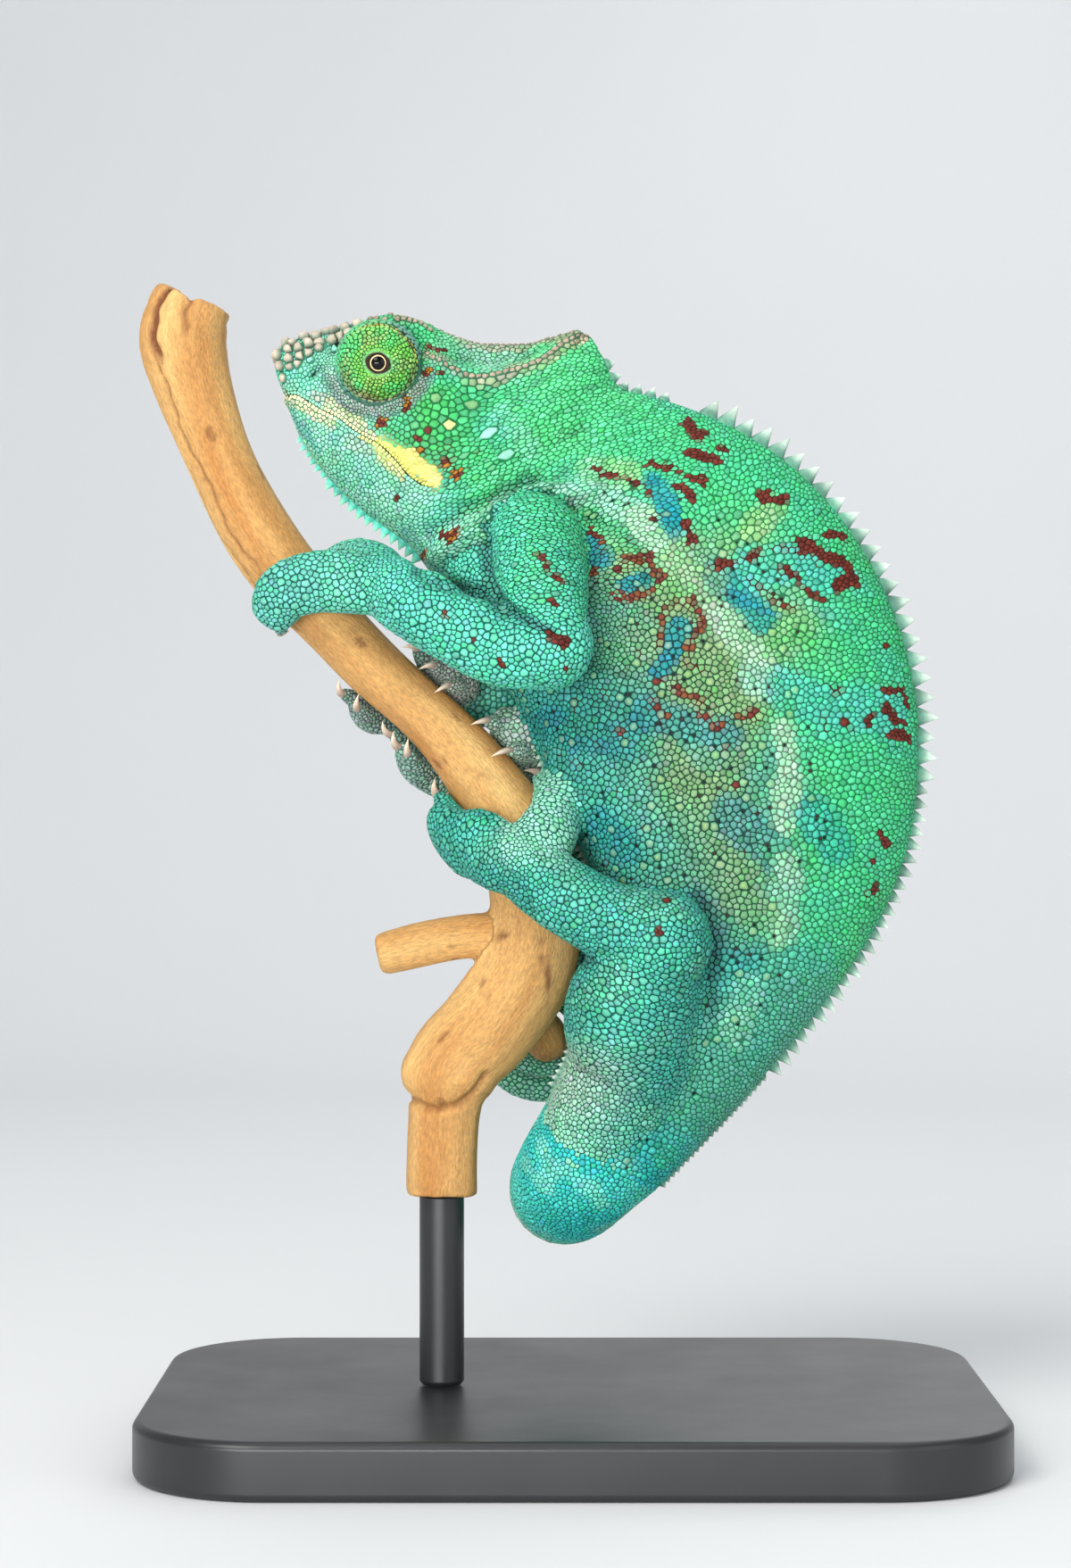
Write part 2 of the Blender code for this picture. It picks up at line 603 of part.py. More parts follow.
def build_eyes(body_room):
    """On each side, a round lid that stands out of the head, and the small eye in its opening."""
    for side, turn in (("right", 1), ("left", -1)):
        mirror = np.array([1, turn, 1])
        centre, aim = EYE_CENTRE * mirror, unit(EYE_AIM) * mirror
        pupil = centre + aim * EYE_DEPTH
        lid = ball(f"eyelid_{side}", centre, aim, EYELID_RADIUS, 16)
        ball(f"eye_{side}", pupil, aim, EYE_RADIUS, 10)
        pocket = ball(f"eye_{side}_room", pupil, aim, EYE_RADIUS + GAP, 10, helper=True)
        combine(lid, "DIFFERENCE", body_room, pocket)


def build_perch():
    """The cut length of branch: its stem, a sawn-off side branch, a knob and the twig in the tail's coil."""
    perch = lofted("perch", perch_rings())
    for name, points in (("stub", PERCH_STUB), ("knob", PERCH_KNOB), ("twig", PERCH_TWIG)):
        rows, rounded = np.array(points), name == "knob"
        rings = tube_rings(rows[:, :3], rows[:, 3], (0, 1, 0.01), LIMB_SIDES, rounded, rounded)
        combine(perch, "UNION", lofted(f"perch_{name}", rings, helper=True))


def build_stand():
    """A round-cornered base and one rod that rises from it to the perch's sawn end."""
    shape = bmesh.new()
    bmesh.ops.create_cube(shape, size=1)
    bmesh.ops.scale(shape, vec=Vector((BASE_LENGTH, BASE_WIDTH, BASE_THICKNESS)) * 0.001, verts=shape.verts)
    bmesh.ops.translate(shape, vec=(0, 0, BASE_THICKNESS * 0.0005), verts=shape.verts)
    upright = [e for e in shape.edges if e.verts[0].co.z != e.verts[1].co.z]
    bmesh.ops.bevel(shape, geom=upright, offset=BASE_CORNER * 0.001, segments=6, profile=0.5, affect="EDGES")
    edge = object_from(shape, "stand_base").modifiers.new("edge", "BEVEL")
    edge.width = BASE_BEVEL * 0.001
    edge.segments = 2
    edge.angle_limit = np.radians(60)

    height = PERCH[-1, 1] - BASE_THICKNESS - 2 * GAP
    middle = Vector((PERCH[-1, 0], 0, BASE_THICKNESS + GAP + height / 2)) * 0.001
    radius = ROD_RADIUS * 0.001
    shape = bmesh.new()
    depth = height * 0.001
    bmesh.ops.create_cone(shape, cap_ends=True, segments=16, radius1=radius, radius2=radius, depth=depth)
    bmesh.ops.translate(shape, vec=middle, verts=shape.verts)
    object_from(shape, "stand_rod")


def add_materials():
    made = {}
    for name, (colour, roughness, metallic) in MATERIALS.items():
        made[name] = bpy.data.materials.new(name)
        made[name].use_nodes = True
        shader = made[name].node_tree.nodes["Principled BSDF"]
        shader.inputs["Base Color"].default_value = (*colour, 1)
        shader.inputs["Roughness"].default_value = roughness
        shader.inputs["Metallic"].default_value = metallic
    for part in bpy.context.scene.objects:
        if not part.hide_render:
            start = part.name.split("_")[0]
            part.data.materials.append(made.get(start, made["skin"]))


def main():
    for old in list(bpy.data.objects):
        bpy.data.objects.remove(old)
    rings = body_rings()
    build_head(rings)
    build_trunk(rings)
    build_tail()
    body_room = build_limbs(body_rings(GAP))
    build_eyes(body_room)
    build_perch()
    build_stand()
    add_materials()


main()
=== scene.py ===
"""Panther chameleon on a cut perch: skin, scales, spines, eyes, claws, wood, stand and stage.

The frame is +Z up. The animal faces -X and its left side faces -Y. Tables and formulas are in millimetres,
turned into metres where a mesh is made.
"""

import functools
import types

import bpy
import numpy as np
from bpy.props import FloatProperty, FloatVectorProperty, IntProperty, PointerProperty
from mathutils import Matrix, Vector
from mathutils.bvhtree import BVHTree
from mathutils.kdtree import KDTree


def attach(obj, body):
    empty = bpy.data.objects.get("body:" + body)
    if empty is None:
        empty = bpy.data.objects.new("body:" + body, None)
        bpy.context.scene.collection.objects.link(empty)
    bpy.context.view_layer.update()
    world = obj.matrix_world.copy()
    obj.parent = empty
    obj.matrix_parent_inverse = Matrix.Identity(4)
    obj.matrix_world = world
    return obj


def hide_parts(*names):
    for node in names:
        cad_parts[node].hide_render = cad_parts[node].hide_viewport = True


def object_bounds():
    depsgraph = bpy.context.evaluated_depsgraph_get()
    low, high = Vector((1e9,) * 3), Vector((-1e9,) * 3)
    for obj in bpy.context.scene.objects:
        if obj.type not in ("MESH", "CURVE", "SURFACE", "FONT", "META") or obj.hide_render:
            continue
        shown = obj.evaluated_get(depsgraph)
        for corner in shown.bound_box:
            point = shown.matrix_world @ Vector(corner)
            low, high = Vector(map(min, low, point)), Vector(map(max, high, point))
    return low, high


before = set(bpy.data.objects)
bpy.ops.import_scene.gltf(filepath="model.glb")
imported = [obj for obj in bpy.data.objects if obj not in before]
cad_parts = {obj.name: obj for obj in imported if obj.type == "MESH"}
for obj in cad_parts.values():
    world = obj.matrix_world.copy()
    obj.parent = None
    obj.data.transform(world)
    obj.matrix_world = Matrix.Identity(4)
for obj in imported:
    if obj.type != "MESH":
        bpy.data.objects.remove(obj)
CAD_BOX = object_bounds()

bl_info = {
    "name": "Panther chameleon on a perch",
    "version": (1, 0, 0),
    "blender": (4, 5, 0),
    "location": "View3D > Sidebar > Chameleon",
    "description": "Builds a life-size panther chameleon in a coat of scales, its perch and its stand",
    "category": "Add Mesh",
}

MM = 0.001
SPECK = 0.52  # how wide the dark scales among the others are
PIECE_TRIANGLES = 190000  # the most that a piece of the coat has
COAT = 0.28  # the skin lies this far inside the solids, and the scales fill it
SKIN_GRAIN = 0.76  # size of the faces of the skin
CORNERS = 7  # corners of a scale
TURN = 2 * np.pi
SPINE_STEPS = 4  # places to each row of the body where spines may stand
GRAIN_STEP = 300  # how far apart stem, stub and twig lie in the wood's own coordinates
DOME_PATCH = 0.0015  # size of a scale on the coat's map

# ---------------------------------------------------------------- sizes shared with the solids

# Head, neck and trunk: back (x, z), underside (x, z), half width, lean, sharpness of back and underside
BODY = np.array([
    (-53.2, 193.2, -52.8, 190.8, 1, 0, 0.9, 0.9), (-52.4, 195.6, -51.9, 188.6, 2.9, 0, 0.8, 0.9),
    (-51, 197.2, -50.8, 185.4, 4.6, 0, 0.7, 0.9), (-47.2, 198.2, -48.3, 179.2, 6.2, 0.05, 0.7, 1),
    (-42.4, 199, -44.8, 173.9, 7.4, 0.08, 0.7, 1), (-37.6, 200.6, -40.8, 169.6, 8.6, 0.08, 0.7, 1),
    (-32.8, 201.8, -37.1, 166.2, 9.8, 0.08, 0.75, 1), (-27.2, 201.2, -33.6, 163.7, 10.8, 0.1, 0.9, 1),
    (-21.6, 198.6, -30.4, 161.4, 11.7, 0.18, 1.1, 1), (-15.2, 197.2, -27.8, 158.9, 12.4, 0.26, 1.3, 1),
    (-6.4, 197.6, -25.6, 156, 12.8, 0.32, 1.5, 1), (2.4, 199, -23.2, 152, 12.4, 0.34, 1.6, 1),
    (6, 194.6, -21.6, 148.8, 12, 0.3, 1.5, 1), (8.6, 189.4, -20, 145.6, 11.8, 0.24, 1.3, 1),
    (14.4, 187.6, -17.6, 141.9, 12, 0.16, 1.2, 0.95), (22.4, 185, -14.7, 138.1, 12.6, 0.12, 1.2, 0.95),
    (31.2, 180.8, -11.5, 134.4, 13.6, 0.1, 1.2, 0.95), (40, 174.7, -9, 131.2, 14.8, 0.1, 1.2, 0.95),
    (48, 166.3, -7, 128, 15.9, 0.1, 1.2, 0.95), (54.7, 156, -5.8, 124, 16.7, 0.1, 1.2, 0.95),
    (59.5, 144.5, -4.5, 119.8, 17.2, 0.1, 1.2, 0.95), (62.1, 132, -2.6, 114.4, 17.3, 0.1, 1.2, 0.95),
    (62.4, 119.2, 0, 108.8, 17, 0.1, 1.2, 0.95), (60.5, 106.4, 2.6, 104, 16.4, 0.1, 1.2, 0.95),
    (56, 94.4, 4.5, 98.4, 15.6, 0.1, 1.2, 0.95), (49.6, 84, 5.1, 92, 14.6, 0.08, 1.2, 1),
    (41.6, 73.6, 4.5, 84.8, 13.6, 0.06, 1.15, 1), (32.8, 63.2, 2.2, 76.8, 12.6, 0.04, 1.1, 1),
    (24, 53.9, -0.6, 68.8, 11.8, 0.02, 1.05, 1), (15.2, 44.8, -4.5, 61.3, 11.2, 0, 1, 1),
])
BODY_STEPS = 12  # rings to each row above
BODY_SIDES = 128
NECK_ROW = 11
TRUNK_ROW = 14.5
# The tail from the vent to its coil: x, y, z, half height, half width
TAIL = np.array([
    (2.2, 0.3, 49.2, 11.8, 11), (-0.6, 6.2, 45, 10.8, 10.3), (-1.8, 16.8, 42.6, 9.4, 9.1),
    (-1, 28, 44.4, 8, 7.9), (1.4, 36, 49.5, 6.8, 6.8), (4.6, 39.6, 56.2, 5.7, 5.7),
    (7.6, 39, 63.4, 4.7, 4.7),
])
# The coil: turns made, depth and radius of the tail
COIL = np.array([
    (0, 36.5, 3.8), (0.25, 34, 3.2), (0.5, 30.5, 2.8), (0.75, 27, 2.45), (1, 25, 2.15), (1.25, 24.3, 1.9),
    (1.5, 24.1, 1.75), (1.75, 24.2, 1.6), (2, 27.6, 1.4), (2.25, 28.3, 1.25), (2.5, 28.5, 1.05),
    (2.7, 28.6, 0.75),
])
COIL_CENTRE = (-4.4, 71.1)
COIL_START_RADIUS = 13.55
COIL_PITCH = 4.2
TWIG_RADIUS = 4.3
TAIL_STEPS = 9
TAIL_SIDES = 40
# Limbs: x, y, z and radius down each length
LIMBS = {
    "upper_arm_left": [(-6.6, -12.9, 160.6, 8.6), (-5.4, -17.9, 152.4, 8.4), (-4.6, -20.2, 143.6, 7.2)],
    "forearm_left": [
        (-4.3, -20.2, 141.9, 8.2), (-12.6, -18.9, 141.2, 6.6), (-20.4, -17.3, 145.6, 7),
        (-27.2, -15.6, 149.4, 6.8),
    ],
    "thigh_left": [
        (11, -8.3, 70.4, 11.4), (10.4, -12, 77.6, 12), (12.6, -15.3, 84.6, 10.6), (14.4, -17.5, 88.8, 8.4),
    ],
    "shank_left": [(14.9, -18.4, 90.4, 9.6), (6.2, -17.5, 94, 7.2), (-3.2, -16, 99.4, 6.7)],
    "upper_arm_right": [(-6.6, 12.9, 160.6, 8.6), (-4.4, 17.5, 151, 8.2), (-3, 19.8, 142, 7)],
    "forearm_right": [(-2.6, 19.8, 140, 8), (-8, 18.4, 136, 6.6), (-14, 15.6, 134.4, 6.2)],
    "thigh_right": [(11, 8.3, 70.4, 11.4), (9.4, 13.8, 80, 10.6), (6, 18.8, 91, 7.9)],
    "shank_right": [(5.2, 19.5, 92.8, 9), (-0.6, 17.5, 104.4, 6.8), (-6.6, 15.3, 114.6, 6.2)],
}
LIMB_SIDES = 40
# How wide the scales of the limbs are
LIMB_SCALES = {
    "upper_arm": 0.78, "forearm": 1.16, "thigh": 1, "shank": 1.08, "web": 0.95, "hand": 1.12, "foot": 1,
}
# Webs of skin from limb to body: x, y, z and radius, for the right side
WEBS = {
    "arm": [(-17, 5.6, 156.6, 6.6), (-11, 9.2, 152.4, 7.4), (-6, 12.4, 146.6, 8)],
    "leg": [(10.4, 7.6, 69, 10.9), (7.4, 5, 62, 10.6), (4.2, 2.4, 55.5, 10.2)],
}
WRIST_RADIUS = 5.9
# The pieces that make up each limb
LIMB_PARTS = [("arm", "upper_arm", "forearm", "hand"), ("leg", "thigh", "shank", "foot")]
# Feet: distance down the perch, degrees round it, height over the bark, half width, half thickness;
# then the number of toes, the space between them and their length
FEET = {
    "hand_left_outer": (
        [
            (67.3, -41, 9.8, 6, 5.2), (62.5, -29, 6.2, 6, 4.8), (59.2, -13, 4.4, 5.7, 4.2),
            (57.2, 12, 3.9, 5.4, 4), (57.8, 38, 3.3, 4.6, 3.4),
        ],
        2, 3.9, 5,
    ),
    "hand_left_inner": (
        [
            (67.5, -48, 9, 5.4, 5.2), (64, -78, 6.2, 5.4, 4.6), (61, -112, 4.2, 5.4, 4),
            (60, -148, 3.5, 5.4, 3.7), (60.4, -176, 3.2, 5, 3.3),
        ],
        3, 3.7, 4.6,
    ),
    "hand_right_inner": (
        [(90, -158, 9, 5.4, 5), (88.5, -138, 5.4, 5.6, 4.6), (86.8, -112, 3.4, 6, 3.2)], 3, 4.3, 4.2,
    ),
    "hand_right_outer": ([(87, 188, 8, 5.2, 4.8), (84, 165, 4.8, 5, 4.2), (81, 128, 3.2, 4.6, 3)], 2, 4, 5),
    "foot_left_outer": (
        [
            (120.4, 11, 7.2, 6, 5.2), (116.8, 26, 5.2, 6.6, 4.8), (112.8, 47, 4.3, 6.4, 4.2),
            (109, 74, 3.4, 5.6, 3.5),
        ],
        3, 3.6, 5.2,
    ),
    "foot_left_inner": (
        [
            (120.4, 0, 6.4, 5.2, 4.6), (119, -17, 5.6, 5.8, 4.8), (116, -38, 4.4, 5.4, 4.2),
            (114, -62, 3.4, 4.6, 3.5),
        ],
        2, 4, 4.8,
    ),
    "foot_right_inner": (
        [(107, -172, 8.6, 5.6, 5.2), (104, -140, 5.4, 5.6, 4.8), (102.4, -104, 3.8, 5.8, 3.8)], 2, 5.6, 5.4,
    ),
    "foot_right_outer": (
        [(104, 176, 8, 5.4, 5), (97.8, 150, 4.8, 5.4, 4.2), (93.8, 122, 3.2, 5, 3)], 3, 3.3, 4.6,
    ),
}
TOE_RADIUS = 1.9
CLAW_LENGTH = 3.6
CLAW_RADIUS = 0.75
# The perch's axis (x, z) and radius, from the broken upper end to the sawn lower one
PERCH = np.array([
    (-67.4, 204.9, 7.4), (-68.6, 202, 7.9), (-69.5, 196.8, 8), (-67.4, 188, 7), (-62.6, 175.2, 6.6),
    (-55.8, 162.4, 6.9), (-48.5, 152.8, 6.6), (-36.5, 140, 5.9), (-23, 127.2, 5.9), (-16, 118.9, 6.7),
    (-10.1, 109.3, 8), (-6.7, 99.2, 8.6), (-6.4, 90.4, 8.8), (-9.1, 82.1, 9.1), (-15.2, 73.6, 9.1),
    (-21.4, 67.2, 8.5), (-22.4, 60, 6.9), (-23, 52, 6.8), (-23.2, 47, 6.9), (-23.2, 44, 6.9),
])
# Cracks in the wood: distances down it, turns round it (pi is the near side, pi/2 the side away from the
# animal), depth and width; and stains: place and reach
WOOD_CRACKS = [
    (-2, 13, 2.5, 2.35, 1.2, 0.7), (9, 60, 2.35, 2.5, 0.5, 0.35), (30, 76, 1.75, 2, 0.3, 0.35),
    (-2, 9, 3.3, 3.2, 0.5, 0.5), (4, 26, 0.7, 0.9, 0.8, 0.5), (22, 70, 5.2, 5.6, 0.5, 0.4),
    (128, 168, 0.4, 0.1, 0.5, 0.4),
]
WOOD_STAINS = [
    ((-5.4, -8.6, 88.2), (0.5, 3, 2)), ((-4.2, -8.6, 83), (0.7, 3, 3.6)),
    ((-16.5, -6.5, 118), (1.6, 3, 1.6)), ((-11.6, -5.5, 90.4), (1.8, 3, 1.2)), ((-14, 8, 70), (2, 3, 3)),
]
# Folds of the wood, as those of the skin
WOOD_FOLDS = [
    (
        -0.9, 0.6,
        [(-30, 62.6), (-28.6, 61.4), (-26, 60.2), (-23.6, 59.9), (-20, 60.8), (-17.6, 62.6), (-15.4, 66)],
    ),
    (0.35, 2.2, [(-27, 64.4), (-22, 63.4), (-18, 66)]),
    (-1, 1.2, [(-66.6, 208), (-67.2, 205.4), (-68.6, 203.4)]),
    (-0.5, 1.2, [(-72.6, 200), (-73.2, 196), (-72.2, 191)]),
    (-0.35, 1.6, [(-60.6, 168), (-57.4, 163), (-52.6, 157)]), (-0.3, 1.4, [(-50, 150), (-44, 144)]),
    (0.35, 2, [(-35, 139), (-31, 134)]),
]
PERCH_STUB = [(-8, 0, 91, 4.4), (-20, 0, 90.4, 4.3), (-34.5, 0, 87.2, 3.9)]
PERCH_KNOB = [(-20, -1, 67, 8), (-24.6, -1, 66.4, 6.2)]
PERCH_TWIG = [
    (-10, 3, 84, 3.2), (-6.2, 8.6, 77, 3.4), (-4.4, 13.5, 71.1, 4.2), (-4.4, 24, 71.1, TWIG_RADIUS),
    (-4.4, 39, 71.1, 4),
]
EYE_CENTRE = np.array([-34.2, 7.4, 192.4])
EYE_AIM = np.array([0.03, 1.0, -0.12])
EYE_DEPTH = 6.4
EYE_RADIUS = 2.0
EYELID_RADIUS = 7.9
BACK_SPINES = [(0.06, 0.5, 24, 3.8, 2.8), (0.515, 0.83, 24, 2.7, 1.9), (0.845, 0.99, 22, 0.9, 1.1)]
BELLY_SPINES = [(0.32, 0.97, 52, 1.3, 1.2)]
NAPE_SPINES = [(0.1, 0.9, 6, 1.5, 1.7)]
CHIN_SPINES = [(0.24, 0.42, 7, 1.1, 1.1), (0.43, 0.84, 12, 2.1, 1.7)]
SPINE_THICKNESS = 1.5
SPINE_LEAN = 0.18
BASE_LENGTH, BASE_WIDTH, BASE_THICKNESS, BASE_CORNER = 150.0, 110.0, 10.0, 24.0
ROD_RADIUS = 4.0

FLESH = {
    "head": ["head", "lower_jaw"], "neck": ["neck"], "trunk": ["trunk"],
    "tail": ["tail_1", "tail_2", "tail_3", "tail_4"],
    "arm_left": ["upper_arm_left", "forearm_left", "hand_left_outer", "hand_left_inner"],
    "arm_right": ["upper_arm_right", "forearm_right", "hand_right_outer", "hand_right_inner"],
    "leg_left": ["thigh_left", "shank_left", "foot_left_outer", "foot_left_inner"],
    "leg_right": ["thigh_right", "shank_right", "foot_right_outer", "foot_right_inner"],
}
REGIONS = list(FLESH)

# ---------------------------------------------------------------- colours and markings

# Colours as they look, red, green and blue from 0 to 255
COLOURS = {
    "spring": (72, 206, 140), "meadow": (92, 220, 144), "leaf": (84, 204, 112), "jade": (84, 182, 152),
    "sage": (124, 180, 120), "teal": (58, 174, 156), "aqua": (92, 216, 184), "lagoon": (48, 184, 176),
    "pool": (76, 198, 176), "sky": (12, 148, 160), "mint": (146, 222, 188), "foam": (160, 222, 180),
    "milk": (144, 226, 196), "fern": (56, 166, 84), "ash": (176, 190, 178), "slate": (104, 156, 146),
    "straw": (206, 218, 138), "lemon": (232, 230, 124), "shell": (190, 178, 160), "cream": (228, 228, 176),
    "lime": (112, 196, 84), "rose": (170, 152, 132), "rust": (98, 40, 30), "ochre": (182, 122, 40),
    "tawny": (114, 62, 34), "bronze": (120, 112, 60), "ink": (10, 34, 34), "umber": (48, 34, 28),
    "horn": (84, 140, 118), "horn_tip": (196, 214, 200), "claw": (168, 148, 134),
    "claw_tip": (228, 208, 186), "knot": (104, 48, 20),
}
# Base colours of head, neck and trunk: where each is purest as (x, z), and how far it reaches
GROUND = {
    "aqua": [(-50, 191, 4), (-23, 163, 4)],
    "milk": [(-45, 193, 4), (-46, 184, 5), (-42, 177, 6), (-35, 170, 6), (-29, 165, 6)],
    "pool": [(-39, 173, 4), (-3, 126, 6), (0, 112, 6), (8, 110, 8)],
    "leaf": [(-27, 184, 5)], "fern": [(-24, 178, 7), (-19, 180, 6)],
    "spring": [
        (-15, 186, 7), (-14, 176, 7), (8, 180, 8), (24, 173, 9), (38, 163, 9), (50, 150, 10), (56, 136, 10),
        (57, 120, 10), (52, 104, 10), (46, 94, 8), (46, 122, 8),
    ],
    "mint": [(-13, 194, 4)], "meadow": [(-4, 184, 9), (2, 190, 8), (-12, 171, 7), (-3, 176, 7)],
    "jade": [
        (36, 80, 8), (27, 70, 7), (6, 142, 7), (9, 123, 8), (36, 118, 6), (18, 100, 9), (22, 68, 7),
        (12, 60, 6),
    ],
    "sage": [
        (30, 158, 6), (37, 146, 5), (14, 147, 7), (24, 139, 7), (22, 119, 8), (28, 108, 8), (30, 96, 6),
    ],
    "teal": [(2, 131, 8), (26, 86, 8)], "lagoon": [(8, 52, 8)],
}
# Soft markings of head, neck and trunk: colour, strength, half width, softness, line of (x, z)
MARKINGS = [
    ("mint", 0.6, 1.6, 1.6, [(-24, 159), (-18, 162), (-12, 165.4)]),
    ("mint", 0.9, 1.8, 1.8, [(-12, 165.4), (-6, 168.2), (0, 169.3), (6, 168.2), (11.7, 164.3)]),
    ("foam", 0.8, 1.9, 1.4, [(11.5, 164.4), (16.3, 160.2), (23.5, 152), (27, 147)]),
    ("foam", 0.9, 2.4, 1.2, [(26, 148.4), (30, 142.6), (33.4, 135.4)]),
    ("sky", 0.95, 1.2, 1.2, [(13.6, 170.4), (16, 166), (18.2, 162.2)]),
    ("sky", 0.9, 1.7, 1.8, [(26, 154), (29.8, 150.3), (33.6, 146)]),
    ("pool", 0.85, 3, 2, [(32, 156), (38, 156), (45, 155)]),
    ("sky", 0.9, 1.1, 1, [(19.4, 145.4), (17.4, 141), (15.2, 137)]),
    ("sky", 0.85, 1.6, 1.6, [(-3, 163.5), (1, 161), (4.5, 157.5)]),
    ("sky", 0.9, 1.2, 1, [(9, 152.5), (13, 154)]),
    ("pool", 0.75, 2.6, 3, [(38, 134), (44, 132), (51, 131), (56, 130)]),
    ("sage", 0.55, 3, 3, [(20, 158), (23, 153)]),
    ("sage", 0.6, 3.4, 3.4, [(25, 138), (19, 131), (22, 120)]),
    ("sky", 0.6, 2, 2.2, [(13, 129.5), (20, 127.5), (27, 127.5)]),
    ("sky", 0.5, 2, 3, [(-4, 129), (4, 126), (10, 125)]),
    ("sky", 0.5, 2, 2.5, [(-6, 118), (2, 112), (10, 106)]),
    ("sky", 0.55, 2.6, 2.5, [(28, 112), (33, 108), (37, 104)]),
    ("sky", 0.45, 2, 2.5, [(42, 113), (46, 107)]), ("sky", 0.4, 2.2, 3, [(22, 96), (30, 88)]),
    ("straw", 0.3, 2, 2, [(4, 173.4), (9, 172.6)]), ("straw", 0.3, 1.6, 2, [(36, 167), (32, 163)]),
    ("milk", 0.35, 1.2, 1.6, [(-12, 183), (-10, 180.6), (-8, 178)]),
    ("foam", 0.8, 1.4, 1.2, [(36.6, 127.4), (37.8, 121.6)]),
    ("foam", 0.75, 1.6, 1.4, [(38.2, 119.4), (37.8, 111)]), ("foam", 0.6, 1.4, 1.6, [(38, 104), (37, 91)]),
    ("mint", 0.5, 1.8, 2, [(31, 82), (29, 74)]), ("mint", 0.75, 2.5, 3, [(14, 69), (6, 65), (-2, 61.5)]),
    ("sky", 0.3, 4, 5, [(12, 54), (4, 47), (-2, 44)]), ("mint", 0.3, 1, 3.5, [(4, 51), (9, 51)]),
    (
        "rose", 0.6, 0.6, 0.9,
        [
            (-26, 193.6), (-21.5, 191.4), (-17.5, 189.6), (-13, 190.4), (-9, 191.6), (-5.5, 193.2),
            (-1.5, 196.4), (2.4, 198.2),
        ],
    ),
    ("rose", 0.65, 0.9, 1, [(-30, 201.6), (-24, 200.6), (-18, 197.4), (-9.5, 197.6), (2.4, 198.4)]),
    ("mint", 0.4, 1.5, 1.5, [(-22, 196), (-16, 194)]),
    ("cream", 0.75, 0.8, 0.9, [(-51.2, 186.4), (-49, 186), (-47.2, 184.8), (-44.9, 183.2), (-42.3, 181.6)]),
    ("cream", 0.6, 0.8, 0.6, [(-46.6, 184.2), (-45.6, 183.6)]),
    ("rose", 0.5, 0.5, 0.8, [(-45.6, 186.6), (-42.6, 185.4)]),
    ("mint", 0.6, 0.8, 1, [(-52, 188.4), (-49.4, 188.2)]),
    ("cream", 0.8, 0.8, 0.4, [(-43.2, 184.8), (-41.1, 183.6), (-39, 182), (-36.7, 180.5), (-34.4, 179.3)]),
    ("straw", 0.75, 0.6, 0.7, [(-40.6, 184.4), (-37.6, 182.6)]),
    ("rose", 0.3, 0.8, 0.8, [(-38.4, 179.2), (-35.6, 177.6)]),
    ("straw", 0.7, 0.7, 0.8, [(-33.6, 175.6), (-31.4, 173), (-30.4, 171.8)]),
    ("lemon", 1, 0.7, 0.25, [(-34, 178.4), (-32.6, 177.3)]),
    ("lemon", 1, 1.3, 0.25, [(-31.4, 176.5), (-30.2, 175.9)]),
    ("lemon", 1, 1.5, 0.25, [(-29.1, 175.3), (-27.3, 173.6)]),
    ("lemon", 1, 1.3, 0.25, [(-25.7, 172.4), (-24.1, 171.3)]),
]
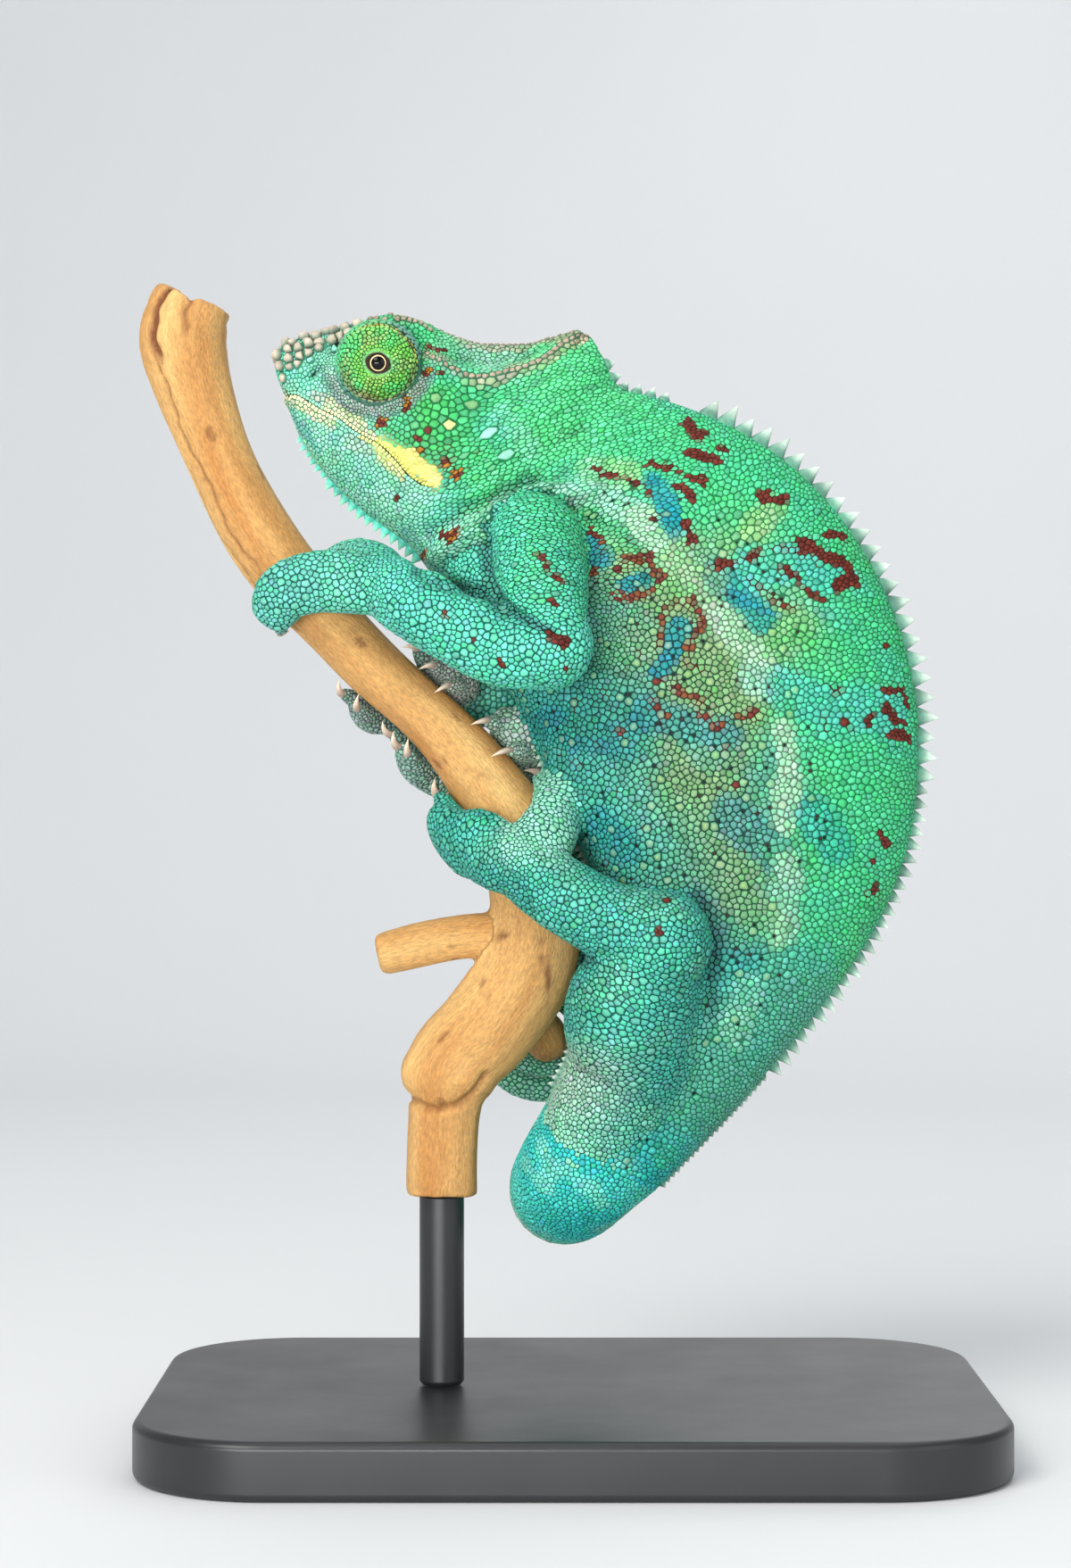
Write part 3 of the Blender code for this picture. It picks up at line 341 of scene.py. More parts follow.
# Red marks of head, neck and trunk, and of the limbs: half width and strength, and lines of (x, z)
RED = {
    (1.4, 1): [[(21, 182), (23.2, 180)]],
    (0.9, 0.9): [
        [(26.5, 178.4)], [(8, 155), (9.5, 157.4), (13.4, 157.6), (15.6, 154.6), (14.6, 151.6), (12, 150.4)],
        [(12.4, 138.6)],
    ],
    (1.2, 1): [[(20.5, 176.4), (25.5, 175.4)]],
    (0.8, 0.8): [
        [(14.5, 173.8), (18, 173), (22.5, 171.2)], [(25.4, 155.4), (28.4, 156)],
        [(30.6, 157), (33.2, 159.4)],
        [(16.6, 148.4), (18.6, 150), (21.4, 149.4), (22.4, 146), (21.4, 142), (19.6, 140.4)],
        [(16, 146), (15.4, 142.4)], [(18.6, 138.4), (22.2, 137.4)], [(18, 134), (22.2, 132)],
    ],
    (1, 1): [[(32.6, 169.6), (38, 169)]], (0.7, 0.85): [[(4, 174), (8.5, 172.6), (12, 170.5), (13, 168.6)]],
    (1.1, 1): [[(18.4, 169.6), (21, 167.4)], [(19.8, 163.4), (20.4, 161)], [(8, 155)]],
    (0.7, 0.8): [
        [(13.6, 165.6)], [(37, 155.4), (41, 152.2), (44, 150.6)], [(15.4, 135.6)], [(29, 118)], [(20, 122)],
        [(8, 117)], [(14, 110)], [(-2, 123)],
    ],
    (1.3, 1): [[(39.6, 160.4), (42.5, 159.8), (45.2, 158.4), (49.2, 157), (49.8, 154), (47.4, 152.2)]],
    (0.8, 1): [
        [(45.5, 162.2), (47.8, 161.4)], [(0.6, 158.6)], [(33.2, 144.4)], [(54.8, 135), (59.4, 132.8)],
        [(57.2, 126.8), (59.6, 125.8)], [(54.4, 98.8), (52.6, 98)], [(-29.6, 185.6), (-29, 184)],
        [(-34.6, 181.8), (-32.6, 181.6)], [(-23, 173.8), (-20.6, 173)], [(-22.4, 161), (-20, 161.6)],
    ],
    (0.7, 0.7): [[(30.8, 153.4), (34, 152), (36, 149.6), (38.6, 148.4)]],
    (0.6, 0.6): [[(36, 159.4), (41, 157.4)], [(-6, 162.8), (-2.2, 160.8)]],
    (1, 0.9): [[(3, 162.4), (5.4, 159.6)]],
    (0.9, 1): [[(3.3, 155)], [(54.4, 131), (59, 128.4)], [(54.4, 108.8), (55.6, 107)], [(53.2, 103.6)]],
    (0.7, 0.9): [[(4.5, 152.4)], [(40, 138)]],
    (0.8, 0.9): [
        [(-4.8, 165), (-0.6, 163)], [(7, 151), (10, 149.6)], [(28.6, 130.6), (31.4, 130)], [(8.4, 127)],
    ],
    (0.9, 0.8): [[(13.4, 132), (15.8, 130.4)]], (1.1, 0.9): [[(22.2, 130.2), (26, 128.8)]],
    (0.6, 0.7): [[(44.6, 135.8), (47.2, 134)]],
    (0.6, 0.9): [
        [(44.4, 130.6), (44.6, 127.6)], [(-27.4, 182.6)], [(-25.4, 180)], [(-27, 178)], [(-26.6, 176)],
        [(-21.6, 177)], [(-16.6, 176.2)], [(-19.4, 172.4)], [(-32, 161.6)], [(-26, 157.8)],
    ],
    (0.6, 0.8): [[(47.8, 129.6), (50.2, 127.8)], [(52, 128.8)], [(-25, 195.4), (-22.6, 194)]],
    (0.6, 1): [[(56, 142.2)], [(-23.6, 190)]], (0.5, 0.9): [[(52, 148)]], (0.7, 1): [[(-25.6, 190.6)]],
    (0.5, 0.8): [[(-29, 170)], [(-31.6, 168)]],
}
RED_ON_LIMBS = {
    "arm": {
        (0.6, 0.8): [[(-6, 156.6), (-4.4, 154.6)]],
        (0.5, 0.8): [[(-3.4, 153.4), (-1.8, 153)], [(-10, 157)], [(-22, 147)]],
        (0.7, 0.9): [[(-3.4, 149.4)]], (0.9, 0.9): [[(-4, 143.6), (-1.6, 141.6)]],
        (0.6, 0.9): [[(-1.8, 137.6)]], (0.5, 0.9): [[(-12, 139)], [(-17, 143)]],
    },
    "leg": {
        (0.7, 0.9): [[(16, 97)]], (0.9, 1): [[(15, 92.4)]], (0.6, 0.8): [[(11, 84)]],
        (0.5, 0.7): [[(15, 78)]],
    },
}
# The line of the mouth (x, z)
MOUTH = [
    (-53, 187.4), (-51.5, 187.3), (-48.8, 187), (-46.8, 185.8), (-44.4, 184.3), (-41.7, 182.9),
    (-39.6, 181.2), (-37.4, 179.7), (-34.7, 178.3), (-33.5, 177.3), (-31.1, 174.9), (-29.2, 172.5),
    (-26.7, 170.6), (-25, 170),
]
YELLOW = [(-33.4, 178), (-30.8, 176.1), (-28, 173.6), (-24.4, 171.1)]
# Folds carved in the skin: regions, and height (negative for a groove), half width, line of (x, z)
FOLDS = [
    (
        "head",
        [
            (-0.45, 0.4, MOUTH), (0.35, 0.8, [(-51, 186.3), (-47.4, 185), (-43, 182.6), (-39.5, 180.2)]),
            (0.5, 1.5, YELLOW),
            (-0.4, 0.5, [(-32.4, 179.4), (-29.4, 178.2), (-25.9, 175.2), (-22.4, 172.2)]),
            (-0.5, 0.8, [(-21.6, 170.4), (-20.2, 173.6), (-21.6, 176)]),
            (
                1, 1.3,
                [
                    (-25, 193), (-21, 191.2), (-17, 189.8), (-13, 190.4), (-9, 191.6), (-5, 193.6),
                    (-1.5, 196), (1.8, 198),
                ],
            ),
            (-0.9, 2.2, [(-19, 194.4), (-13, 194.4), (-8, 195)]),
            (-0.4, 1.4, [(-18, 187.4), (-11, 188), (-4, 190.8)]),
            (-1.3, 0.6, [(-45.9, 190.6), (-44.9, 191.9)]),
            (0.5, 0.9, [(-47.6, 190.6), (-47.2, 192.4), (-45.4, 193.4)]),
            (0.4, 0.8, [(-43.6, 196), (-42.8, 192), (-43.8, 188.6)]),
            (-0.5, 1.2, [(-28, 183.6), (-31, 181.4), (-36, 181.8), (-41, 184.6)]),
        ],
    ),
    (
        "head neck trunk",
        [
            (1.6, 1.6, [(-24, 158.6), (-18.5, 162), (-13, 165.2), (-8, 168), (-2, 169.8), (4, 169.4)]),
            (-1.5, 1.3, [(-21.5, 156), (-16.5, 158.8), (-11, 161.8), (-6, 165.2), (0, 166.8)]),
        ],
    ),
    (
        "head neck",
        [
            (-0.8, 1.2, [(-25, 162.4), (-19, 165.6), (-13, 168.6), (-7, 171.6)]),
            (0.35, 1.1, [(-22, 167), (-15, 170), (-8, 174)]),
            (-0.4, 0.9, [(-21, 169.4), (-14, 172.4), (-6, 176.6), (2, 181)]),
            (-0.35, 0.9, [(-17.5, 174.4), (-10, 178), (-2, 183), (4, 188)]),
        ],
    ),
    (
        "trunk",
        [
            (0.6, 2.4, [(4, 168.6), (13, 163.4), (19, 157.4), (24.6, 150), (30, 141.6), (34, 133)]),
            (-0.5, 1, [(2, 165.4), (8, 163.4), (12, 159), (13, 154)]),
            (-0.45, 0.9, [(2, 139), (9, 137), (16, 133)]),
            (-0.45, 0.9, [(0, 134.6), (7, 131.6), (13, 127)]),
            (-0.4, 0.9, [(-2, 129.6), (4, 125.6), (9, 120)]),
            (0.35, 1.6, [(37, 127), (38, 119), (38, 111), (38, 98), (36, 90)]),
            (-0.4, 2, [(20, 108), (23, 98), (25, 88), (25, 78)]),
        ],
    ),
    (
        "arm_left arm_right",
        [
            (
                -1.5, 1,
                [
                    (-15.4, 161), (-15.4, 156.1), (-14.6, 152.6), (-13.2, 150.2), (-10.6, 147.6),
                    (-7, 145.4), (-3, 144),
                ],
            ),
        ],
    ),
    ("arm_left", [(-1.3, 1.3, [(-27, 155.4), (-24, 153), (-20.6, 152.2), (-16, 151.4)])]),
    (
        "arm_left arm_right",
        [
            (
                -0.4, 0.6,
                [(-13.2, 160), (-13.7, 156.2), (-12.5, 153.2), (-9.6, 151), (-6, 149), (-2.6, 148.8)],
            ),
            (-0.35, 0.6, [(-11.4, 160), (-11.7, 156.6), (-10.6, 154.4), (-8, 152.6), (-5, 151.2)]),
            (-0.3, 0.6, [(-9.6, 159.6), (-9.7, 157.2), (-8.6, 155.6), (-6.4, 154.4)]),
        ],
    ),
    (
        "arm_left",
        [
            (-0.5, 0.8, [(-35.6, 159), (-37.1, 155), (-36.9, 151), (-34.5, 147.6)]),
            (-0.3, 0.7, [(-33.4, 158.6), (-34.9, 154.6), (-34.6, 150.6), (-32.6, 147)]),
            (-0.3, 0.6, [(-8.6, 137.4), (-6.6, 139.8), (-6.4, 142.6)]),
        ],
    ),
    (
        "leg_left",
        [
            (-0.5, 0.8, [(-13, 104.6), (-9.4, 100.4), (-6.6, 95)]),
            (-0.35, 0.7, [(-10.6, 106.4), (-6.8, 102), (-4, 96)]),
        ],
    ),
    (
        "leg_left leg_right",
        [
            (-0.4, 0.8, [(1.6, 87), (4, 85.6), (6.8, 83.8)]),
            (-0.3, 0.7, [(1.4, 84.6), (4.2, 83), (7, 81.4)]),
            (-0.3, 0.7, [(1.4, 82), (4.2, 80.6), (7, 79)]),
        ],
    ),
    (
        "trunk leg_left leg_right",
        [
            (-0.35, 0.7, [(-1, 68), (4, 66.5), (9, 63), (14, 61.6)]),
            (-0.3, 0.6, [(-2, 64), (3, 62.5), (8, 59.5), (13, 58.6)]),
        ],
    ),
]
# Rows of knobs on the head: colour, width, height, spacing, depth y, line of (x, z)
KNOB_ROWS = [
    (
        "shell", 2.6, 1.3, 1.7, 1.4,
        [(-51.2, 196), (-48.5, 197.2), (-45, 198), (-41.5, 198.8), (-38.5, 199.5)],
    ),
    (
        "shell", 2.7, 1.4, 1.8, 2.9,
        [(-52.2, 194.3), (-49.4, 195.5), (-46, 196.2), (-42.5, 196.9), (-39.6, 197.8)],
    ),
    ("shell", 2.5, 1.1, 1.7, 3.7, [(-52.2, 192.4), (-50.1, 193.5), (-47.6, 194.3), (-45, 195)]),
    ("shell", 2.1, 0.8, 1.6, 4.2, [(-51.7, 190.8), (-50, 191.8), (-48.6, 192.6)]),
    ("milk", 1.6, 0.5, 0, 5.4, [(-46.4, 193.2), (-42.2, 195.2)]),
    ("rose", 1.2, 0.4, 1.2, 4.6, [(-36, 201), (-33, 201.8), (-28, 201.8), (-24, 200.6)]),
    ("rose", 1.1, 0.3, 1.1, 0, [(-23, 199.6), (-17, 197.6), (-11, 197.4), (-5, 197.8), (2.2, 199.2)]),
    (
        "rose", 1, 0.24, 1.2, 9,
        [
            (-25.6, 194), (-21.6, 191.8), (-17.6, 190), (-13, 190.6), (-9, 191.8), (-5, 193.8),
            (-1.6, 196.4), (1.2, 198.2),
        ],
    ),
]
# Rows of lip scales: colour, width, distance from the line of the mouth, and which of its points they follow
LIPS = [
    ("mint", 0.66, 0.38, 0, 5), ("cream", 0.7, 0.4, 4, 9), ("lemon", 0.7, 0.42, 8, 14),
    ("cream", 0.8, -0.45, 1, 6), ("mint", 0.66, -0.4, 5, 8), ("straw", 0.75, -0.42, 7, 12),
    ("mint", 0.7, -0.4, 11, 14),
]
PALE_CHEEK = [
    ("straw", -21.3, 181.3), ("sage", -18.3, 184.7), ("mint", -14.2, 179.4), ("mint", -11.2, 175.3),
    ("sage", -24, 185.9),
]


def linear(colour):
    """A colour as it looks (0 to 255) as the linear one that shaders take: ((c/255 + 0.055)/1.055)**2.4."""
    c = np.asarray(colour, float) / 255
    return np.where(c > 0.04045, ((c + 0.055) / 1.055) ** 2.4, c / 12.92)


TINT = {name: linear(colour) for name, colour in COLOURS.items()}


# ---------------- mathematics of shapes


def unit(v):
    """Vectors at length 1."""
    return v / np.maximum(np.linalg.norm(v, axis=-1, keepdims=True), 1e-12)


def run_of(path):
    """Unit directions along a path or along a grid's first axis."""
    return unit(np.gradient(path, axis=0))


def upright(x, z):
    """Points (x, 0, z) in the animal's middle plane."""
    return np.column_stack([x, np.zeros_like(x), z])


def bell(distance, width):
    """1 at no distance, and less further off: exp(-(distance / width)^2)."""
    return np.exp(-((distance / width) ** 2))


def ramp(x, low, high):
    """0 below low, 1 above high, and t*t*(3 - 2t) between them."""
    t = np.clip((x - low) / (high - low), 0, 1)
    return t * t * (3 - 2 * t)


def round_turn(sides):
    """Angles of the places round a ring."""
    return np.linspace(0, TURN, sides, endpoint=False)


def down_path(path):
    """Distance down a path to each of its points."""
    return np.append(0, np.cumsum(np.linalg.norm(np.diff(path, axis=0), axis=1)))


def rows_at(at, distance, rows):
    """Rows read at distances down a path, in straight steps from row to row."""
    return np.stack([np.interp(at, distance, column) for column in rows.T], -1)


def tree_of(points):
    """A tree that finds the nearest of the points."""
    tree = KDTree(len(points))
    for i, point in enumerate(points.tolist()):
        tree.insert(point, i)
    tree.balance()
    return tree


def smooth_rows(rows, steps):
    """A Catmull-Rom curve through rows a, b, c, d: (2b + (c-a)t + (2a-5b+4c-d)t^2 + (3b-a-3c+d)t^3) / 2."""
    rows = np.asarray(rows, float)
    ends = np.vstack([2 * rows[0] - rows[1], rows, 2 * rows[-1] - rows[-2]])
    a, b, c, d = (ends[k : len(ends) - 3 + k, None] for k in range(4))
    t = np.linspace(0, 1, steps, endpoint=False)[None, :, None]
    spans = 0.5 * (2 * b + (c - a) * t + (2 * a - 5 * b + 4 * c - d) * t**2 + (3 * b - a - 3 * c + d) * t**3)
    return np.vstack([spans.reshape(-1, rows.shape[1]), rows[-1:]])


def waves(points, size, seed, count=20):
    """A smooth random field: the sum of cosines cos(k.p + phase), with k spread round 1/size."""
    draw = np.random.default_rng(seed)
    k = unit(draw.normal(size=(count, points.shape[1]))) * draw.uniform(0.6, 1.5, (count, 1))
    k = k * TURN / (4 * size)
    phase = draw.uniform(0, TURN, count)
    return np.cos(points @ k.T + phase).sum(1) * np.sqrt(2 / count)


def distance_to(points, line):
    """Least distance from points (x, z) to a line of points: |p - a - t(b - a)|, t clipped to 0..1."""
    line = np.asarray(line, float)
    if len(line) == 1:
        return np.linalg.norm(points - line[0], axis=1)
    a, ab = line[:-1], np.diff(line, axis=0)
    t = np.clip(((points[:, None] - a) * ab).sum(-1) / (ab**2).sum(-1), 0, 1)
    return np.linalg.norm(points[:, None] - a - t[..., None] * ab, axis=-1).min(1)


def frames_along(path, up):
    """Tangent, up and side directions down a path: each up is the last less its part along the tangent."""
    tangents = run_of(path)
    ups = np.empty_like(tangents)
    for i, tangent in enumerate(tangents):
        up = unit(up - tangent * np.dot(up, tangent))
        ups[i] = up
    return tangents, ups, np.cross(ups, tangents)


def tube(path, high, wide, up, sides, start=True, end=True):
    """An oval section carried along a path: p + high cos(a) up + wide sin(a) side. A round end goes on along
    the tangent by high sin(e) while the section shrinks by cos(e)."""
    tangents, ups, across = frames_along(path, np.asarray(up, float))
    a = round_turn(sides)[None, :, None]
    spokes = high[:, None, None] * np.cos(a) * ups[:, None]
    spokes = spokes + wide[:, None, None] * np.sin(a) * across[:, None]
    e = np.radians([20, 40, 58, 74, 86])[:, None, None]
    parts = [path[:, None] + spokes]
    if start:
        parts.insert(0, (path[0] - tangents[0] * high[0] * np.sin(e) + spokes[0] * np.cos(e))[::-1])
    if end:
        parts.append(path[-1] + tangents[-1] * high[-1] * np.sin(e) + spokes[-1] * np.cos(e))
    return np.concatenate(parts)


def round_tube(rows, inset, up=(0, 1, 0.01), sides=LIMB_SIDES, start=True, end=True):
    """A tube with round sections through rows of x, y, z and radius."""
    radius = rows[:, 3] - inset
    return tube(rows[:, :3], radius, radius, up, sides, start, end)


# ---------------- forms of the animal


def body_rings(inset):
    """Rings of head, neck and trunk. Round a ring, height = centre - half_height cos(a) up, and width =
    half_width (1 + lean cos a) |sin a|**sharpness, with a = 0 on the underside and pi on the back."""
    rows = smooth_rows(BODY, BODY_STEPS)
    back, under = upright(rows[:, 0], rows[:, 1]), upright(rows[:, 2], rows[:, 3])
    up = unit(back - under)
    half_height = np.linalg.norm(back - under, axis=1) / 2 - inset
    a = round_turn(BODY_SIDES)
    cosine, sine = np.cos(a), np.sin(a)
    sharp = np.where(cosine > 0, rows[:, 7:8], rows[:, 6:7])
    width = (rows[:, 4:5] - inset) * (1 + rows[:, 5:6] * cosine) * np.abs(sine) ** sharp
    rings = ((back + under) / 2)[:, None] - (half_height[:, None] * cosine)[..., None] * up[:, None]
    rings[..., 1] += np.sign(np.round(sine, 9)) * width
    return rings


def tail_rows():
    """Places and half sizes down the tail. The coil's distance from the twig is the larger of a spiral's,
    start - pitch * turns, and the twig's radius and the tail's together."""
    turns, depth, radius = smooth_rows(COIL, 14).T
    out = np.maximum(COIL_START_RADIUS - COIL_PITCH * turns, TWIG_RADIUS + 0.3 + radius)
    x, z = COIL_CENTRE[0] + out * np.cos(TURN * turns), COIL_CENTRE[1] + out * np.sin(TURN * turns)
    coil = np.column_stack([x, depth, z, radius, radius])
    back, under = np.insert(BODY[-1, :2], 1, 0.0), np.insert(BODY[-1, 2:4], 1, 0.0)
    vent = [*((back + under) / 2), np.linalg.norm(back - under) / 2, BODY[-1, 4]]
    rows = np.vstack([smooth_rows(np.vstack([vent, TAIL, coil[:1]]), TAIL_STEPS)[:-1], coil])
    return rows, unit(back - under)


def perch_line():
    """The perch's axis as points, and the distance down it to each of them."""
    axis = upright(PERCH[:, 0], PERCH[:, 1])
    return axis, down_path(axis)


def on_bark(places):
    """Points, and directions away from the bark, at (distance down the perch, degrees round it, height)."""
    axis, distance = perch_line()
    down, degrees, lift = np.asarray(places, float)[:, :3].T
    centre = rows_at(down, distance, axis)
    tangent = unit(rows_at(down + 2, distance, axis) - centre)
    outer = np.column_stack([tangent[:, 2], 0 * down, -tangent[:, 0]])
    angle = np.radians(degrees)[:, None]
    away = np.cos(angle) * (0, -1, 0) + np.sin(angle) * outer
    return centre + away * (np.interp(down, distance, PERCH[:, 2]) + lift)[:, None], away


def toe_places(rows, count, space, length):
    """For each toe, rows of (distance down the perch, degrees, height) that run on from the bundle's end."""
    (s0, a0), (s1, a1) = rows[-2][:2], rows[-1][:2]
    girth = np.interp(s1, perch_line()[1], PERCH[:, 2]) + TOE_RADIUS
    heading = unit(np.array([s1 - s0, np.radians(a1 - a0) * girth]))
    aside = np.array([-heading[1], heading[0]])
    toes = []
    for k in range(count):
        spread = (k - (count - 1) / 2) * space * np.array([0.8, 1, 1.1])
        flat = np.outer([-3, length * 0.4, length], heading) + np.outer(spread, aside)
        lift = TOE_RADIUS * np.array([1.1, 1, 0.8])
        toes.append(np.column_stack([s1 + flat[:, 0], a1 + np.degrees(flat[:, 1] / girth), lift]))
    return toes


def bundle_rings(rows, inset):
    """A bundle of toes grown together: an oval tube over the bark, flat side to the wood, with blunt ends."""
    rows = smooth_rows(rows, 7)
    path, away = on_bark(rows)
    tangents = run_of(path)
    ups = unit(away - tangents * np.sum(away * tangents, axis=1, keepdims=True))
    across = np.cross(tangents, ups)
    a = round_turn(30)
    high, wide = (rows[:, 4:5] - inset) * np.cos(a), (rows[:, 3:4] - inset) * np.sin(a)
    spokes = high[..., None] * ups[:, None] + wide[..., None] * across[:, None]
    e = np.radians([20, 42, 62, 78])[:, None, None]
    first = path[0] - tangents[0] * rows[0, 4] * 0.8 * np.sin(e) + spokes[0] * np.cos(e)
    last = path[-1] + tangents[-1] * rows[-1, 4] * 0.9 * np.sin(e) + spokes[-1] * np.cos(e)
    return np.concatenate([first[::-1], path[:, None] + spokes, last])


def shells(inset):
    """Every closed surface that the skin is melted from: name, region, rings."""
    made = [("body", "trunk", body_rings(inset))]
    rows, up = tail_rows()
    root = rows[: 5 * TAIL_STEPS]
    made.append(("tail_root", "tail", tube(root[:, :3], *(root[:, 3:] - inset).T, up, 56, False)))
    for side, sign in (("left", -1), ("right", 1)):
        for limb, table in WEBS.items():
            web = round_tube(smooth_rows(table, 8) * (1, sign, 1, 1), inset)
            made.append((f"web_{limb}_{side}", f"{limb}_{side}", web))
        for limb, upper, lower, foot in LIMB_PARTS:
            region = f"{limb}_{side}"
            bundles = {name: feet for name, feet in FEET.items() if name.startswith(f"{foot}_{side}")}
            wrist = on_bark([feet[0][0] for feet in bundles.values()])[0].mean(axis=0)
            lower_rows = [*LIMBS[f"{lower}_{side}"], (*wrist, WRIST_RADIUS)]
            for name, rows in ((upper, LIMBS[f"{upper}_{side}"]), (lower, lower_rows)):
                made.append((f"{name}_{side}", region, round_tube(smooth_rows(rows, 8), inset)))
            for name, (rows, *toes) in bundles.items():
                made.append((name, region, bundle_rings(rows, inset)))
                for k, places in enumerate(toe_places(rows, *toes)):
                    path, away = on_bark(smooth_rows(places, 6))
                    radius = smooth_rows([[1], [1], [0.8]], 6) * TOE_RADIUS
                    toe = round_tube(np.hstack([path, radius]), inset, away[0], 20, False)
                    made.append((f"{name}_toe_{k}", region, toe))
    return made


# ---------------- meshes


def grid_faces(rings, sides):
    """Quads (i, j), (i, j+1), (i+1, j+1), (i+1, j) of a grid closed round its rings."""
    i, j = np.meshgrid(np.arange(rings - 1), np.arange(sides), indexing="ij")
    k = (j + 1) % sides
    here, ahead = i * sides, (i + 1) * sides
    return np.stack([here + j, here + k, ahead + k, ahead + j], -1).reshape(-1, 4)


def closed_shell(rings):
    """Points, quads and triangles of a closed surface through rings, each end closed to its middle."""
    count, sides = rings.shape[:2]
    points = np.vstack([rings.reshape(-1, 3), rings[0].mean(0), rings[-1].mean(0)])
    quads = grid_faces(count, sides)
    j = np.arange(sides)
    k, last = (j + 1) % sides, (count - 1) * sides
    low = np.column_stack([np.full(sides, count * sides), k, j])
    high = np.column_stack([np.full(sides, count * sides + 1), last + j, last + k])
    tris = np.vstack([low, high])
    corners = points[np.vstack([quads[:, :3], quads[:, [0, 2, 3]], tris])]
    if np.einsum("ij,ij->i", corners[:, 0], np.cross(corners[:, 1], corners[:, 2])).sum() < 0:
        quads, tris = quads[:, ::-1], tris[:, ::-1]
    return points, quads, tris


def joined(parts):
    """Several lists of points, quads and triangles as one."""
    starts = np.cumsum([0] + [len(points) for points, *_ in parts])
    points, quads, tris = zip(*parts)
    return np.vstack(points), *(np.vstack([f + s for f, s in zip(faces, starts)]) for faces in (quads, tris))


def mesh_from(name, points, *faces):
    """A smooth-shaded mesh from points in millimetres and arrays of faces."""
    faces = [np.asarray(f, np.int32) for f in faces if len(f)]
    mesh = bpy.data.meshes.new(name)
    mesh.vertices.add(len(points))
    mesh.vertices.foreach_set("co", (np.asarray(points) * MM).astype(np.float32).ravel())
    sizes = np.concatenate([np.full(len(f), f.shape[1]) for f in faces])
    corners = np.concatenate([f.ravel() for f in faces])
    mesh.loops.add(len(corners))
    mesh.loops.foreach_set("vertex_index", corners)
    mesh.polygons.add(len(sizes))
    mesh.polygons.foreach_set("loop_start", np.concatenate([[0], np.cumsum(sizes)[:-1]]).astype(np.int32))
    mesh.polygons.foreach_set("use_smooth", np.ones(len(sizes), bool))
    mesh.update(calc_edges=True)
    return mesh


def set_values(mesh, name, values, kind, key):
    """Values given to a mesh's points under a name."""
    layer = mesh.attributes.new(name, kind, "POINT").data
    layer.foreach_set(key, np.asarray(values, np.float32).ravel())


def set_tint(mesh, name, rgb):
    """Colours given to a mesh's points."""
    set_values(mesh, name, np.column_stack([rgb, np.ones(len(rgb))]), "FLOAT_COLOR", "color")


def add_piece(mesh, material, nodes, tint=None):
    """An object at the origin for a finished mesh, riding on the part's only body."""
    if tint is not None:
        set_tint(mesh, "tint", tint)
    piece = bpy.data.objects.new(mesh.name, mesh)
    bpy.context.scene.collection.objects.link(piece)
    mesh.materials.append(material)
    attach(piece, "root")
    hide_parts(*nodes)


def melted(name, parts, voxel):
    """One surface round overlapping closed shells: points and quads."""
    mesh = mesh_from(name, *joined(parts))
    holder = bpy.data.objects.new(name, mesh)
    bpy.context.scene.collection.objects.link(holder)
    melt = holder.modifiers.new("melt", "REMESH")
    melt.mode = "VOXEL"
    melt.voxel_size = voxel * MM
    melt.adaptivity = 0
    done = holder.evaluated_get(bpy.context.evaluated_depsgraph_get()).to_mesh()
    points = np.empty(len(done.vertices) * 3, np.float32)
    done.vertices.foreach_get("co", points)
    corners = np.empty(len(done.loops), np.int32)
    done.loops.foreach_get("vertex_index", corners)
    bpy.data.objects.remove(holder)
    bpy.data.meshes.remove(mesh)
    return points.reshape(-1, 3).astype(float) / MM, corners.reshape(-1, 4)


def edges_of(quads):
    """Each edge of the faces once, as a pair of points."""
    pairs = np.vstack([quads[:, [k, (k + 1) % 4]] for k in range(4)])
    pairs.sort(axis=1)
    key = np.unique(pairs[:, 0].astype(np.int64) * (quads.max() + 1) + pairs[:, 1])
    return np.column_stack(np.divmod(key, quads.max() + 1))


def neighbour_mean(values, edges):
    """The mean of each point's neighbours along the edges."""
    values = values.reshape(len(values), -1)
    a, b = edges.T
    count = np.bincount(a, minlength=len(values)) + np.bincount(b, minlength=len(values))
    total = [np.bincount(a, v[b], len(values)) + np.bincount(b, v[a], len(values)) for v in values.T]
    return np.stack(total, 1) / np.maximum(count, 1)[:, None]


def normals_of(points, quads):
    """Point normals: the sum of the cross products of the diagonals of the faces round each point."""
    corners = points[quads]
    face = np.cross(corners[:, 2] - corners[:, 0], corners[:, 3] - corners[:, 1])
    total = [sum(np.bincount(quads[:, k], face[:, axis], len(points)) for k in range(4)) for axis in range(3)]
    return unit(np.stack(total, 1))


